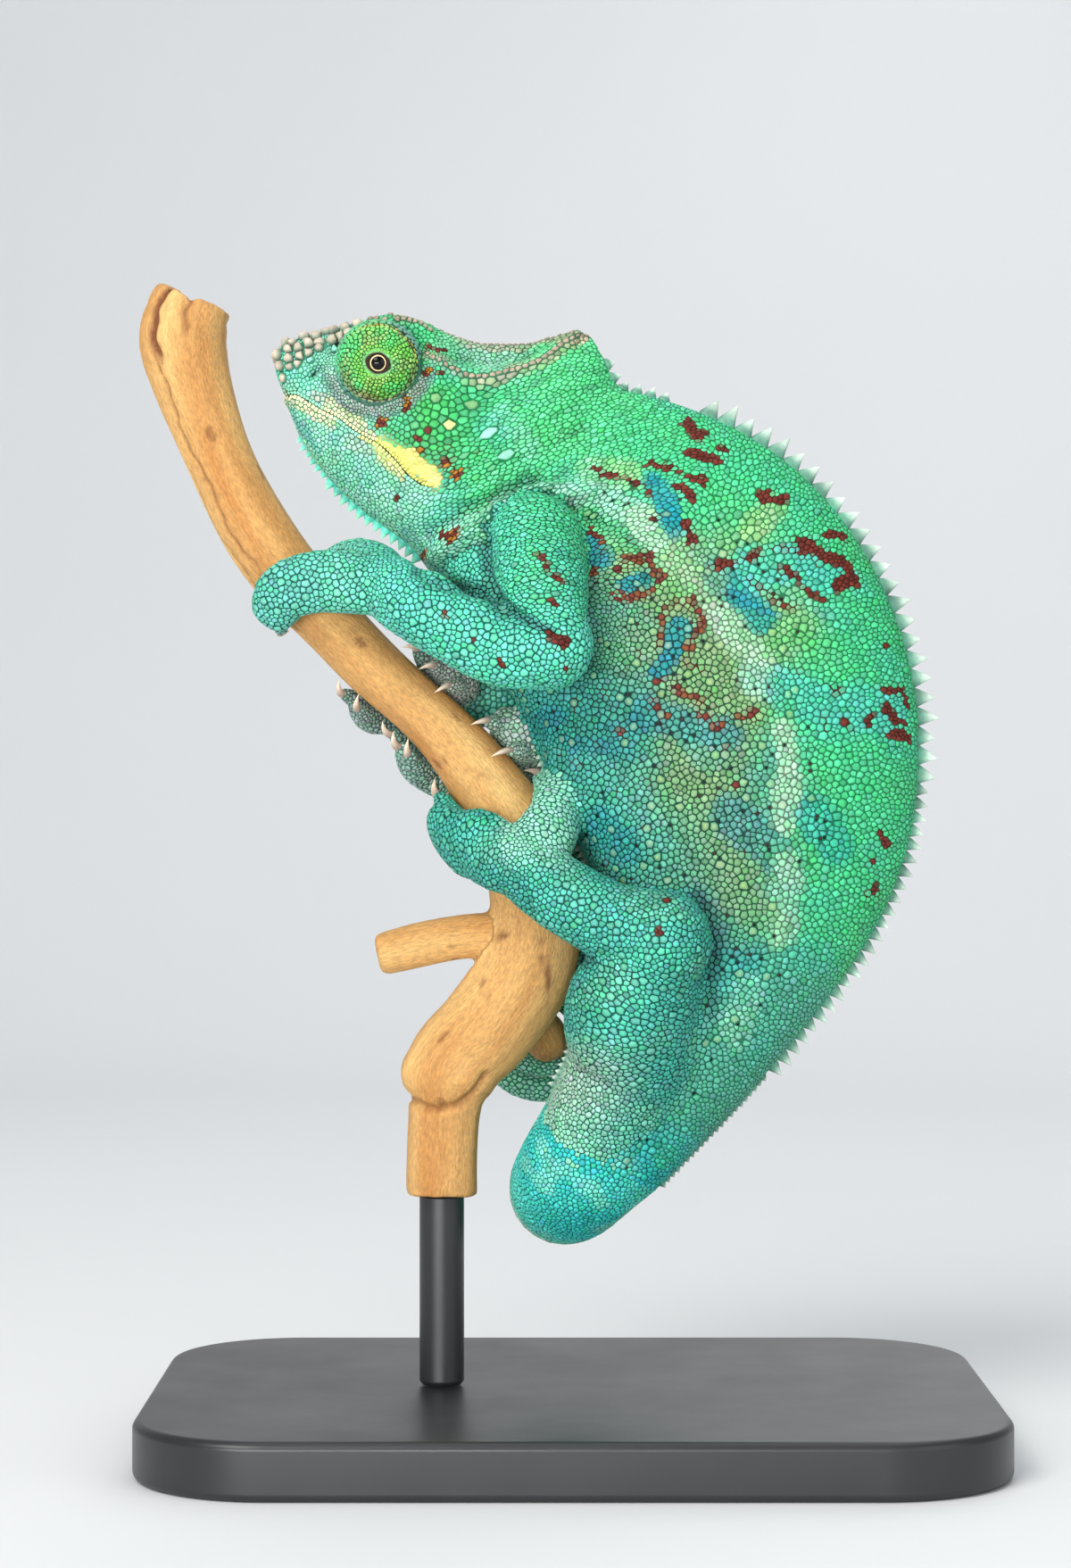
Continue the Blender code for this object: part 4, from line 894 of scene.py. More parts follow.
class Surface:
    """A skin: its points, faces and normals, the shells it came from, and fields given at its points."""

    def __init__(self, points, quads, parts):
        self.points, self.quads, self.parts = points, quads, parts
        self.normals = normals_of(points, quads)
        self.tris = np.vstack([quads[:, :3], quads[:, [0, 2, 3]]])
        self.tree = BVHTree.FromPolygons(points.tolist(), self.tris.tolist())
        self.fields = {}

    def snap(self, points):
        """The nearest places on the surface, and the triangles that they are on."""
        hits = [self.tree.find_nearest(p) for p in points.tolist()]
        return np.array([h[0] for h in hits]), np.array([h[2] for h in hits])

    def from_the_side(self, points):
        """The places first met coming along y from the points' own side, or else the nearest ones."""
        found = self.snap(points)[0].tolist()
        for i, (x, y, z) in enumerate(points.tolist()):
            hit = self.tree.ray_cast((x, np.sign(y) * 60, z), (0, -np.sign(y), 0))[0] if y else None
            if hit is not None and abs(hit[1] - found[i][1]) <= 6:
                found[i] = hit
        return np.array(found)

    def shares(self, places, which):
        """Barycentric shares of places in their triangles, from the areas of the parts they cut."""
        a, b, c = (self.points[self.tris[which, k]] for k in range(3))
        whole = np.cross(b - a, c - a)
        size = np.maximum((whole**2).sum(1), 1e-12)
        second = (np.cross(places - a, c - a) * whole).sum(1) / size
        third = (np.cross(b - a, places - a) * whole).sum(1) / size
        return np.clip(np.column_stack([1 - second - third, second, third]), 0, 1)

    def reader(self, points):
        """The places nearest to points, and a function that reads a field there as the mean of a triangle's
        corners by their shares, or names each triangle's first corner or the nearest one."""
        places, which = self.snap(points)
        shares, corners = self.shares(points, which), self.tris[which]

        def read(name):
            """A field there: the sum of share times value, or for whole numbers the value of one corner."""
            if name in ("first", "corner"):
                pick = shares.argmax(1) if name == "corner" else 0
                return corners[np.arange(len(corners)), pick]
            values = self.normals if name == "normal" else self.fields[name]
            return np.einsum("nk,nk...->n...", shares, values[corners])

        return places, read


# ---------------- the skin


def parts_of(region):
    """Which places are on each region, on the body of head, neck and trunk, and on the limbs."""
    on = types.SimpleNamespace(**{name: region == k for k, name in enumerate(REGIONS)})
    on.body = on.head | on.neck | on.trunk
    on.arm, on.leg = on.arm_left | on.arm_right, on.leg_left | on.leg_right
    on.limb = on.arm | on.leg
    return on


def backness(around):
    """1 on the back, 0 on the underside, of a shell whose turn starts on the underside."""
    return np.clip(1 - np.abs(around - 0.5) * 2, 0, 1)


def shell_places(rings):
    """At each point of a shell: its share of the way down and round it, and the run of the shell."""
    count, sides = rings.shape[:2]
    along = np.repeat(np.linspace(0, 1, count), sides)
    return along, np.tile(np.arange(sides) / sides, count), run_of(rings).reshape(-1, 3)


def smoothed_skin(points, edges, shell):
    """The skin smoothed a little everywhere, by half the way to the neighbours' mean and half of it back,
    and much more where limbs join the body."""
    seam = np.zeros(len(points))
    seam[edges[shell[edges[:, 0]] != shell[edges[:, 1]]].ravel()] = 1
    for _ in range(9):
        seam = np.maximum(seam, neighbour_mean(seam, edges)[:, 0] * 1.02)
    seam = ramp(seam, 0.05, 0.6)
    for turn in range(50):
        pull = 0.5 * seam + (0.5 if turn < 4 else 0) * (1 - seam)
        points = points + (neighbour_mean(points, edges) - points) * pull[:, None]
        if turn < 4:
            points = points - (neighbour_mean(points, edges) - points) * (0.5 * (1 - seam))[:, None]
    return points


def fold_heights(points, region):
    """How high the folds carved in the skin stand: height exp(-(distance / width)^2) from their lines, and
    rings round the sockets of the eyes."""
    flat = points[:, [0, 2]]
    lift = np.zeros(len(points))
    for where, folds in FOLDS:
        here = np.isin(region, [REGIONS.index(name) for name in where.split()])
        for height, width, line in folds:
            near = here & (distance_to(flat, [np.mean(line, axis=0)]) < 40)
            lift[near] += height * bell(distance_to(flat[near], line), width)
    head = region == REGIONS.index("head")
    socket = np.linalg.norm(points - np.where(points[:, 1:2] > 0, 1, (1, -1, 1)) * EYE_CENTRE, axis=1)
    lift -= 0.7 * bell(socket - 8.9, 0.9) * head
    lift += 0.35 * bell(socket - 10.8, 0.9) * head
    lift -= 0.3 * bell(socket - 9.9, 0.35) * head * (points[:, 2] < EYE_CENTRE[2])
    return lift


@functools.cache
def skin_surface():
    """The skin: shells melted into one, smoothed, with its folds carved along the normals, and for each
    point its region, its place on an unwrap of the shells, and the size, stretch and run of its scales."""
    parts = shells(COAT)
    points, quads = melted("skin_melt", [closed_shell(rings) for *_, rings in parts], SKIN_GRAIN)
    edges = edges_of(quads)

    # which shell each point lies on, and where
    tree = tree_of(np.concatenate([rings.reshape(-1, 3) for *_, rings in parts]))
    nearest = np.array([tree.find(p)[1] for p in points.tolist()])
    owner = np.repeat(np.arange(len(parts)), [rings[..., 0].size for *_, rings in parts])[nearest]
    places = zip(*(shell_places(rings) for *_, rings in parts))
    along, around, run = (np.concatenate(values)[nearest] for values in places)
    row = along * (len(BODY) - 1)
    region = np.array([REGIONS.index(name) for _, name, _ in parts])[owner]
    trunk = [name in ("body", "tail_root") for name, *_ in parts]
    points = smoothed_skin(points, edges, np.where(np.array(trunk)[owner], -1, region))
    normals = normals_of(points, quads)
    region[(owner == 0) & (row < NECK_ROW)] = REGIONS.index("head")
    region[(owner == 0) & (row >= NECK_ROW) & (row < TRUNK_ROW)] = REGIONS.index("neck")
    lift = fold_heights(points, region)
    points = points + normals * lift[:, None]

    # painted shade of creases and grooves, from how concave the skin is: how far its smoothed form lies over
    # it, and how deep its grooves are
    smooth = points
    for _ in range(14):
        smooth = neighbour_mean(smooth, edges)
    hollow = ramp(((smooth - points) * normals).sum(1), 0.08, 0.6)
    hollow = np.clip(hollow + 0.5 * ramp(-lift, 0.1, 0.9), 0, 1)

    surface = Surface(points, quads, [name for name, *_ in parts])
    surface.edges = edges
    surface.fields.update(owner=owner, along=along, around=around, region=region, row=row, hollow=hollow)
    size, stretch, lie = scale_sizes(surface, run)
    surface.fields.update(size=size, stretch=stretch, lie=lie)
    return surface


@functools.cache
def tail_coil():
    """The coil of the tail, from inside its bend to the tip, as a surface of its own."""
    rows, up = tail_rows()
    start = 5 * TAIL_STEPS - 8
    _, ups, _ = frames_along(rows[:, :3], up)
    radii = rows[:, 3:5] - COAT * np.clip(rows[:, 3:4] / 4, 0.5, 1)
    rings = tube(rows[start:, :3], *radii[start:].T, ups[start], TAIL_SIDES, False)
    points, quads, tris = closed_shell(rings)
    surface = Surface(points, np.vstack([quads, np.column_stack([tris, tris[:, 2]])]), ["tail_coil"])
    surface.quads, surface.caps = quads, tris
    along, around, run = shell_places(rings)
    along, around = np.append(along, [0, 1]), np.append(around, [0, 0])
    zero = np.zeros(len(points))
    surface.fields.update(
        owner=zero.astype(int), along=along, around=around, region=(zero + REGIONS.index("tail")).astype(int),
        row=along, size=1.1 - 0.42 * along, stretch=zero + 1.2, hollow=zero,
        lie=np.vstack([run, [(0, 0, 1)] * 2]),
    )
    return surface


def scale_sizes(surface, run):
    """How wide the scales are at each point of the skin, how many times longer than wide, and which way."""
    x, _, z = surface.points.T
    region, row, around, along = (surface.fields[k] for k in ("region", "row", "around", "along"))
    part = np.array(surface.parts)[surface.fields["owner"]]
    flat = surface.points[:, [0, 2]]
    back, on = backness(around), parts_of(region)
    body = surface.fields["owner"] == 0
    stretch, lie = np.ones(len(x)), run.copy()

    # the body, with long scales across the ridge of the back
    size = 1.18 - 0.24 * ramp(back, 0.62, 0.9) - 0.12 * ramp(row, 23.5, 28.5)
    size -= 0.12 * ramp(0.3 - back, 0, 0.3)
    size -= 0.12 * bell(distance_to(flat, [(4, 169), (13, 163.4), (24.6, 150), (34, 133)]), 4)
    size -= 0.35 * bell(distance_to(flat, [(6, 160), (8, 150), (4, 140)]), 5)
    sideways = unit(np.cross(run, surface.normals))
    ridge = body & (back > 0.55) & (row > 12)
    lie[ridge] = sideways[ridge]
    stretch[ridge] = 1 + 0.5 * ramp(back[ridge], 0.55, 0.85)

    # the head, and the pleats of neck and throat
    size[on.head] = (0.92 + 0.68 * bell(distance_to(flat, [(-23, 180), (-16, 184), (-9, 187)]), 6))[on.head]
    size[on.head & (back > 0.75)] = 0.95
    size[on.head & (x < -42)] = 0.85
    slant = ramp(row, 8, 10) * (1 - ramp(row, 15, 17.5)) * (1 - ramp(distance_to(flat, [(2, 172)]), 20, 28))
    slant = np.maximum(slant, ramp(row, 7, 9) * (1 - ramp(row, 12, 13)) * (1 - ramp(z, 172, 182)))
    use = body & (slant > 0.05) & (back < 0.9)
    lie[use] = unit(lie * (1 - slant[:, None]) + np.array([0.86, 0, 0.51]) * slant[:, None])[use]
    stretch[use] = 1 + 0.95 * slant[use]
    size = np.where(body & (slant > 0), size + (0.7 - size) * slant * 0.9, size)
    socket = np.linalg.norm(flat - EYE_CENTRE[[0, 2]], axis=1)
    fine = size + (0.55 - size) * (1 - ramp(socket, 9.6, 11))
    size = np.where(on.head & (z < EYE_CENTRE[2] + 3), fine, size)

    # limbs and tail
    for name, wide in LIMB_SCALES.items():
        size[np.char.startswith(part, name)] = wide
    size[np.char.find(part, "toe") > 0] = 0.75
    for name in ("forearm", "shank"):
        limb = np.char.startswith(part, name)
        size[limb] -= 0.4 * ramp(along[limb], 0.66, 0.9)
    for name, times in (("upper_arm", 1.6), ("thigh", 1.35), ("foot", 1.25)):
        limb = np.char.startswith(part, name)
        lie[limb] = sideways[limb]
        stretch[limb] = times
    size[on.tail] = 0.98 - 0.12 * along[on.tail]
    size -= 0.2 * bell(np.linalg.norm(surface.points - (-2, 0, 66), axis=1), 9)
    size *= 1 - 0.22 * ramp(paint(surface.points, region, row, around)[1], 0.3, 0.8)
    size = np.where(on.head, size + (0.6 - size) * (1 - ramp(distance_to(flat, YELLOW), 1.0, 1.8)), size)
    for _ in range(6):
        size = neighbour_mean(size, surface.edges)[:, 0]
    lie = lie - surface.normals * (lie * surface.normals).sum(1, keepdims=True)
    return size, stretch, unit(lie)


# ---------------- colour of the animal


def mixed(colour, other, amount):
    """Colours drawn towards others: c + (other - c) amount."""
    return colour + (other - colour) * amount[:, None]


def paint(points, region, row, around, seed=5):
    """Colours at points of skin or scales: the plain colour, how red the place is, and the colour between
    scales. Soft grounds are weighted by exp(-(distance / reach)^2), and markings follow lines of (x, z)."""
    x, y, z = points.T
    back, on = backness(around), parts_of(region)
    side = points[:, [0, 2]]
    drift = np.column_stack([waves(points, 5.0, seed), waves(points, 5.0, seed + 1)])
    fine = np.column_stack([waves(points, 1.6, seed + 2), waves(points, 1.6, seed + 3)])
    mottle = waves(points, 3.2, seed + 5)
    flat = side + drift * 0.9 + fine * 0.3
    grounds = [(TINT[name], place) for name, places in GROUND.items() for place in places]
    weight = [np.exp(-((flat - (gx, gz)) ** 2).sum(1) / reach**2) for _, (gx, gz, reach) in grounds]
    weight = np.stack(weight, 1) + 1e-9
    colour = (weight @ np.stack([tint for tint, _ in grounds])) / weight.sum(1, keepdims=True)

    def lay(name, amount):
        """Mixes a tint into the colour by an amount from 0 to 1."""
        nonlocal colour
        colour = mixed(colour, TINT[name], np.clip(amount, 0, 1))

    # head, neck and trunk
    marked = side + drift * 0.3 + fine * 0.35
    for name, strength, width, soft, line in MARKINGS:
        near = distance_to(marked, line)
        here = near < width + soft
        amount = np.zeros(len(points))
        amount[here] = strength * (1 - ramp(near[here], width, width + soft))
        lay(name, amount * on.body)
    socket = np.linalg.norm(side - EYE_CENTRE[[0, 2]], axis=1)
    under = ramp(EYE_CENTRE[2] + 1 - z, 0, 4) * on.head
    lay("ash", under * 0.8 * (1 - ramp(socket, 9.4, 10.6)))
    lay("slate", under * 0.6 * ramp(socket, 8.8, 9.6) * (1 - ramp(socket, 9.8, 10.8)))
    lay("pool", on.body * 0.35 * ramp(mottle, 0.4, 1.8))
    lay("leaf", on.body * 0.25 * ramp(-mottle, 0.6, 1.8))
    throat, flecks = on.head * ramp(-z - 0.9 * x, -146, -138), waves(points, 1.6, seed + 7)
    lay("sky", throat * 0.45 * ramp(flecks, 0.5, 1.6))
    lay("mint", throat * 0.4 * ramp(-flecks, 0.3, 1.6))

    # limbs, with ash-grey where the far ones face the near side: partly their own grey, partly painted light
    # that brightens these shaded parts
    lay("aqua", on.arm)
    lay("spring", on.arm * ramp(z, 143, 156) * ramp(x, -16, -6) * 0.8)
    lay("teal", on.arm * ramp(mottle, 0, 1.6) * 0.35)
    lay("pool", on.arm * ramp(-x, 22, 32) * 0.5)
    lay("mint", on.arm * ramp(-x, 26, 44) * 0.3)
    lay("sky", on.arm * ramp(-x, 40, 47) * 0.2)
    lay("jade", on.leg)
    lay("teal", on.leg * 0.8)
    lay("aqua", on.leg * (0.12 + 0.2 * drift[:, 0]))
    lay("sage", on.leg * 0.2 * ramp(mottle, 0.0, 1.5))
    lay("mint", on.leg * 0.8 * ramp(-z, -76, -66) * ramp(-x, -16, 4))
    lay("milk", on.leg * 0.95 * ramp(x, -14, -11) * (1 - ramp(x, -3, 3)) * ramp(z, 101, 108))
    inner = ramp(-y, -11, -5)
    lay("ash", on.arm_right * inner * 0.9)
    lay("ash", on.leg_right * ramp(z, 92, 104) * inner * 0.9)
    lay("milk", on.leg_right * ramp(z, 92, 104) * inner * 0.35)
    belt = ramp(z, 56, 64) * ramp(-z, -76, -68) * ramp(-x, -16, 0) * (y < 6)
    lay("ash", (on.leg | on.trunk | on.tail) * belt * 0.4)
    lay("slate", on.limb * ramp(-x, 22, 28) * (y > -6) * (z < 152) * 0.6)

    # the tail, with painted light: brighter on its near side and low down, and much brighter and paler on the
    # coil beyond the twig
    coil = on.tail * (y > 6)
    lay("lagoon", on.tail * 0.95)
    lay("pool", on.tail * (0.4 + 0.4 * drift[:, 0]) * 0.8)
    lay("mint", on.tail * ramp(fine[:, 1] + drift[:, 1], 0.8, 2.6) * 0.35)
    # painted light: colour brightened where shade falls, on the near side and low down, and most on the coil,
    # which is also drawn towards mint
    colour = colour * (1 + (0.15 * on.tail * (y < 6) + 0.15 * (z < 56) * (y < 4) + 0.9 * coil)[:, None])
    lay("mint", coil * 0.85)

    # tone of the whole, darker flank, and painted shade and light across shallow pleats of neck and head, and
    # in rings round leg and arm
    colour = colour * (1.0, 0.84, 0.86)
    flank = on.trunk * ramp(0.6 - back, 0, 0.12) * ramp(z, 78, 92) * ramp(-z, -158, -150)
    colour = colour * (1 - flank[:, None] * (0.16, 0.2, 0.16))
    pleats = np.cos((0.86 * z - 0.51 * x + 1.2 * drift[:, 0]) * TURN / 2.3)
    pleats = pleats * (on.neck | (on.head & (row > 8)))
    colour = colour * (1 + 0.16 * pleats * (1 - ramp(np.hypot(x - 2, z - 174), 22, 32)))[:, None]
    # painted shade and light in rings round the leg and the upper arm
    leg = on.leg * ramp(z, 74, 80) * ramp(-z, -104, -96)
    arm = on.arm * ramp(x, -18, -10) * ramp(z, 146, 151)
    rings = np.cos((z - 0.25 * x + 1.4 * drift[:, 0]) * TURN / 1.9) * leg
    rings = rings + np.cos((z + 0.3 * x + 1.2 * drift[:, 0]) * TURN / 1.7) * arm
    colour = colour * (1 + 0.17 * rings)[:, None]

    red = np.zeros(len(points))
    sharp = side + fine * 0.35 + drift * 0.2
    ragged = 0.25 * waves(points, 0.9, seed + 4)
    for group, lines in ((on.body, RED), (on.arm, RED_ON_LIMBS["arm"]), (on.leg, RED_ON_LIMBS["leg"])):
        for (width, strength), line in ((kind, line) for kind, marks in lines.items() for line in marks):
            near = distance_to(sharp, line) + ragged
            red = np.maximum(red, strength * (1 - ramp(near, width * 0.45, width * 1.35 + 0.2)) * group)
    red *= 0.84 + 0.16 * np.maximum(ramp(back, 0.44, 0.56), ~on.trunk)
    specks = ramp(waves(points, 0.9, seed + 6, 30), 1.75, 2.2) * 0.5
    low = on.trunk * ramp(0.62 - back, 0, 0.1) * ramp(-z, -166, -158) * ramp(z, 76, 84)
    red = np.maximum(red, specks * (low + 0.35 * on.limb))

    # between the scales: dark, and lighter on the back, the head and the tail
    between = colour * (0.05, 0.17, 0.16)
    light = on.body * ramp(back, 0.45, 0.7) + on.head * 0.75 + on.neck * 0.6 + on.tail * 0.6
    between = mixed(between, colour * (0.14, 0.34, 0.28), np.clip(light, 0, 1))
    # partly painted light: paler gaps on the far limbs, which lie in shade
    between = mixed(between, colour * 0.35, 0.6 * (on.arm_right | on.leg_right))
    bright = [line for name, *_, line in MARKINGS if name in ("foam", "lemon")]
    pale = sum(bell(distance_to(marked, line), 4) for line in bright)
    between = mixed(between, colour * 0.3, np.clip(pale, 0, 1) * on.body)
    between = mixed(between, TINT["lemon"] * 0.7, (1 - ramp(distance_to(marked, YELLOW), 1.5, 2.4)) * on.head)
    lips = on.head * (1 - ramp(distance_to(side, MOUTH), 0.3, 0.6)) * (z < 188.6)
    return colour, red, between * (1 - lips[:, None]) + TINT["ink"] * 0.3 * lips[:, None]


# ---------------- scales


def scatter(surface, draw, keep):
    """Random roots, as many to each triangle as its area over 0.866 size^2."""
    a, b, c = (surface.points[surface.tris[:, k]] for k in range(3))
    area = np.linalg.norm(np.cross(b - a, c - a), axis=1) / 2
    size = surface.fields["size"][surface.tris].mean(1)
    long = surface.fields["stretch"][surface.tris].mean(1)
    weight = area / (0.866 * size**2 * long)
    total = np.cumsum(weight)
    count = int(total[-1])
    which = np.searchsorted(total, (np.arange(count) + draw.random(count)) * total[-1] / count)
    which = np.minimum(which, len(weight) - 1)
    r1, r2 = np.sqrt(draw.random(count)), draw.random(count)
    share = np.column_stack([1 - r1, r1 * (1 - r2), r1 * r2])
    roots = np.einsum("nk,nkc->nc", share, surface.points[surface.tris[which]])
    return roots[keep(roots)]


def nearest_roots(roots, count):
    """For each root, the nearest others."""
    tree = tree_of(roots)
    found = np.array([[hit[1] for hit in tree.find_n(p, count + 1)] for p in roots.tolist()])
    return found[:, 1:]


def relax(surface, roots, grow, pinned, turns):
    """Moves roots apart until they are evenly spread: each neighbour nearer than the wanted distance pushes
    by its share of it, along the offset with its lie shortened by the stretch."""
    for _ in range(turns):
        read = surface.reader(roots)[1]
        size, stretch, lie = read("size") * grow, read("stretch"), unit(read("lie"))
        near = nearest_roots(roots, 10)
        offset = roots[near] - roots[:, None]
        run = (offset * lie[:, None]).sum(-1)
        flat = offset + ((1 / stretch[:, None] - 1) * run)[..., None] * lie[:, None]
        length = np.maximum(np.linalg.norm(flat, axis=-1), 1e-6)
        wanted = 0.5 * (size[:, None] + size[near]) * 1.12
        push = np.clip(1 - length / wanted, 0, 1)
        move = -(offset / length[..., None] * (push * wanted)[..., None]).sum(1) * 0.42
        reach = np.linalg.norm(move, axis=1, keepdims=True)
        move *= np.minimum(1, 0.45 * size[:, None] / np.maximum(reach, 1e-9))
        move[pinned] = 0
        roots = surface.snap(roots + move)[0]
    return roots


def cells(surface, roots, grow, look):
    """The outline round each root: at angle f, the nearest border to a neighbour,
    r(f) = min over neighbours of (|d|^2 + w^2 - w'^2) / 2 / (d.u(f)), with w the half sizes. Of every four
    angles in a row the one that reaches furthest is kept, so that corners fall where three scales meet."""
    places, read = surface.reader(roots)
    normal, lie = unit(read("normal")), unit(read("lie"))
    lie = unit(lie - normal * (lie * normal).sum(1, keepdims=True))
    cross = np.cross(normal, lie)
    size, stretch = read("size") * grow, read("stretch")
    near = nearest_roots(roots, 13)
    offset = roots[near] - roots[:, None]
    along = (offset * lie[:, None]).sum(-1) / stretch[:, None]
    aside = (offset * cross[:, None]).sum(-1)
    half = size / 2
    border = (along**2 + aside**2 + half[:, None] ** 2 - half[near] ** 2) / 2
    f = (look.random((len(roots), 1)) + np.arange(CORNERS * 4) / 4) * TURN / CORNERS
    facing = along[..., None] * np.cos(f)[:, None] + aside[..., None] * np.sin(f)[:, None]
    radius = np.where(facing > 0.03, border[..., None] / np.maximum(facing, 0.03), 9.0).min(1)
    radius = np.clip(radius, 0.22 * size[:, None], 0.72 * size[:, None])
    best = radius.reshape(-1, CORNERS, 4).argmax(2) + 4 * np.arange(CORNERS)
    radius, f = np.take_along_axis(radius, best, 1), np.take_along_axis(f, best, 1)
    softened = (np.roll(radius, 1, axis=1) + np.roll(radius, -1, axis=1)) / 2
    radius = np.minimum(radius, softened * 1.28)
    ahead, over = radius * np.cos(f) * stretch[:, None], radius * np.sin(f)
    outline = ahead[..., None] * lie[:, None] + over[..., None] * cross[:, None]
    return dict(places=places, corner=read("corner"), hollow=read("hollow"), normal=normal, size=size,
                radius=radius, outline=outline, f=f)


# Rings of a scale: shares of the way to its border, and of its height; plain scales have one, fine ones two
PLAIN = ((0.82, 0.92),)
FINE = ((0.82, 0.98), (0.95, 0.5))


def dome_points(surface, cell, height, gap, rings, swell=0.0, sink=0.35):
    """Points of every scale: the middle of its flat top, its rings, and the skirt under the skin. A ring at
    share s rises by height (lift + 0.14 cos f), so that the far edge stands higher. Swell from 0 to 1 draws
    the rings in to make a round knob."""
    n = len(height)
    middle, normal = cell["places"][:, None], cell["normal"][:, None]
    rim = middle + cell["outline"] * (1 - gap / np.maximum(cell["radius"], 0.1))[..., None]
    rim = surface.snap(rim.reshape(-1, 3))[0].reshape(n, CORNERS, 3)
    rise = height[:, None, None] * normal
    swell = np.broadcast_to(swell, n)[:, None, None]
    tilt = 0.14 * np.cos(cell["f"])[..., None] * (1 - swell)
    layers = [middle + rise]
    for k, (share, lift) in enumerate(rings):
        out = middle + (rim - middle) * share * (1 - 0.2 * swell / (k + 1))
        layers.append(out + rise * (lift * (1 - 0.13 * swell) + tilt))
    return np.concatenate([*layers, rim - normal * sink], axis=1)


def dome_faces(n, rings):
    """Faces of n domes: a fan to the top, bands of quads, and the underside."""
    per = 1 + (rings + 1) * CORNERS
    j = np.arange(CORNERS)
    k = (j + 1) % CORNERS
    fan = np.column_stack([0 * j, 1 + j, 1 + k])
    starts = range(1, 1 + rings * CORNERS, CORNERS)
    bands = np.vstack([np.column_stack([s + j, s + CORNERS + j, s + CORNERS + k, s + k]) for s in starts])
    under = (1 + rings * CORNERS + j)[::-1]
    first = (np.arange(n) * per)[:, None, None]
    return (first + fan).reshape(-1, 3), (first + bands).reshape(-1, 4), (first[:, 0] + under).reshape(n, -1)


def island(parts):
    """Where each shell's unwrap lies on the coat's map: (left, low, wide, high)."""
    boxes = {"body": (0.01, 0.01, 0.45, 0.98), "tail_root": (0.47, 0.01, 0.15, 0.36)}
    boxes["tail_coil"] = (0.47, 0.38, 0.15, 0.61)
    toes = [name for name in parts if "toe" in name]
    limbs = [name for name in parts if name not in (*boxes, *FEET, *toes)]
    for i, name in enumerate(limbs):
        boxes[name] = (0.63 + 0.09 * (i % 3), 0.01 + 0.195 * (i // 3), 0.085, 0.19)
    for i, name in enumerate(FEET):
        boxes[name] = (0.90, 0.01 + 0.098 * i, 0.09, 0.095)
    for i, name in enumerate(toes):
        boxes[name] = (0.63 + 0.036 * (i % 10), 0.80 + 0.095 * (i // 10), 0.034, 0.09)
    return boxes


def bake_places(surface, cell):
    """Each root's place on the unwrap: round the shell across, and down it upwards, in the shell's box."""
    boxes = island(skin_surface().parts)
    owner, around, along = (surface.fields[name][cell["corner"]] for name in ("owner", "around", "along"))
    table = np.array([boxes[name] for name in surface.parts])[owner]
    step = np.random.default_rng(3).uniform(-0.5, 0.5, (len(owner), 2)) * DOME_PATCH
    return table[:, :2] + table[:, 2:] * np.column_stack([around, along]) + step


def scale_piece(name, points, tints, bake, f, nodes):
    """A piece of many domes, with the colours of crown, top, rim and skirt, and its map for baking."""
    n, rings = len(points), points.shape[1] // CORNERS - 1
    fans, bands, under = dome_faces(n, rings)
    mesh = mesh_from(name, points.reshape(-1, 3), fans, bands, under)
    crown, top, rim, low = (tint[:, None] for tint in tints)
    layers = [crown, *(np.repeat(tint, CORNERS, 1) for tint in (top, *[rim] * (rings - 1), low))]
    spoke = np.stack([np.cos(f), np.sin(f)], -1) * DOME_PATCH
    spokes = [spoke * (k + 1) / (rings + 1) for k in range(rings + 1)]
    patch = np.concatenate([np.zeros((n, 1, 2)), *spokes], 1) + bake[:, None]
    corners = np.concatenate([fans.ravel(), bands.ravel(), under.ravel()])
    uv = patch.reshape(-1, 2)[corners]
    hidden = fans.size + bands.size
    own = np.repeat(bake, CORNERS, axis=0)
    uv[hidden:] = np.repeat(bake + (0.00148, 0), CORNERS, axis=0) + (uv[hidden:] - own) * 0.02
    mesh.uv_layers.new(name="OFBake").data.foreach_set("uv", uv.astype(np.float32).ravel())
    add_piece(mesh, shared_material("scales"), nodes, np.concatenate(layers, 1).reshape(-1, 3))


def beside(line, away):
    """A line moved across its own run by a distance: p + away (-t_z, t_x)."""
    line = np.array(line, float)
    run = run_of(line)
    return line + away * np.column_stack([-run[:, 1], run[:, 0]])


def knobs():
    """Roots, widths, heights and colours of the rows of knobs on both sides of the head, with those of the
    lips beside the line of the mouth, and the pale scales of the cheek."""
    made = []
    lips = [(name, wide, 0.08, wide * 0.95, 5.0, beside(MOUTH[a:b], away)) for name, wide, away, a, b in LIPS]
    for name, width, height, space, depth, line in [*KNOB_ROWS, *lips]:
        flat = np.array(line)
        if space:
            line = smooth_rows(line, 8)
            length = down_path(line)
            flat = rows_at(np.linspace(0, length[-1], max(2, int(length[-1] / space) + 1)), length, line)
        for side in (-1, 1) if depth else (0,):
            made += [((x, side * depth, z), width, height, name) for x, z in flat]
    made += [((x, side * 12, z), 2.1, 0.3, name) for name, x, z in PALE_CHEEK for side in (-1, 1)]
    roots, widths, heights, names = zip(*made)
    return np.array(roots), np.array(widths), np.array(heights), list(names)


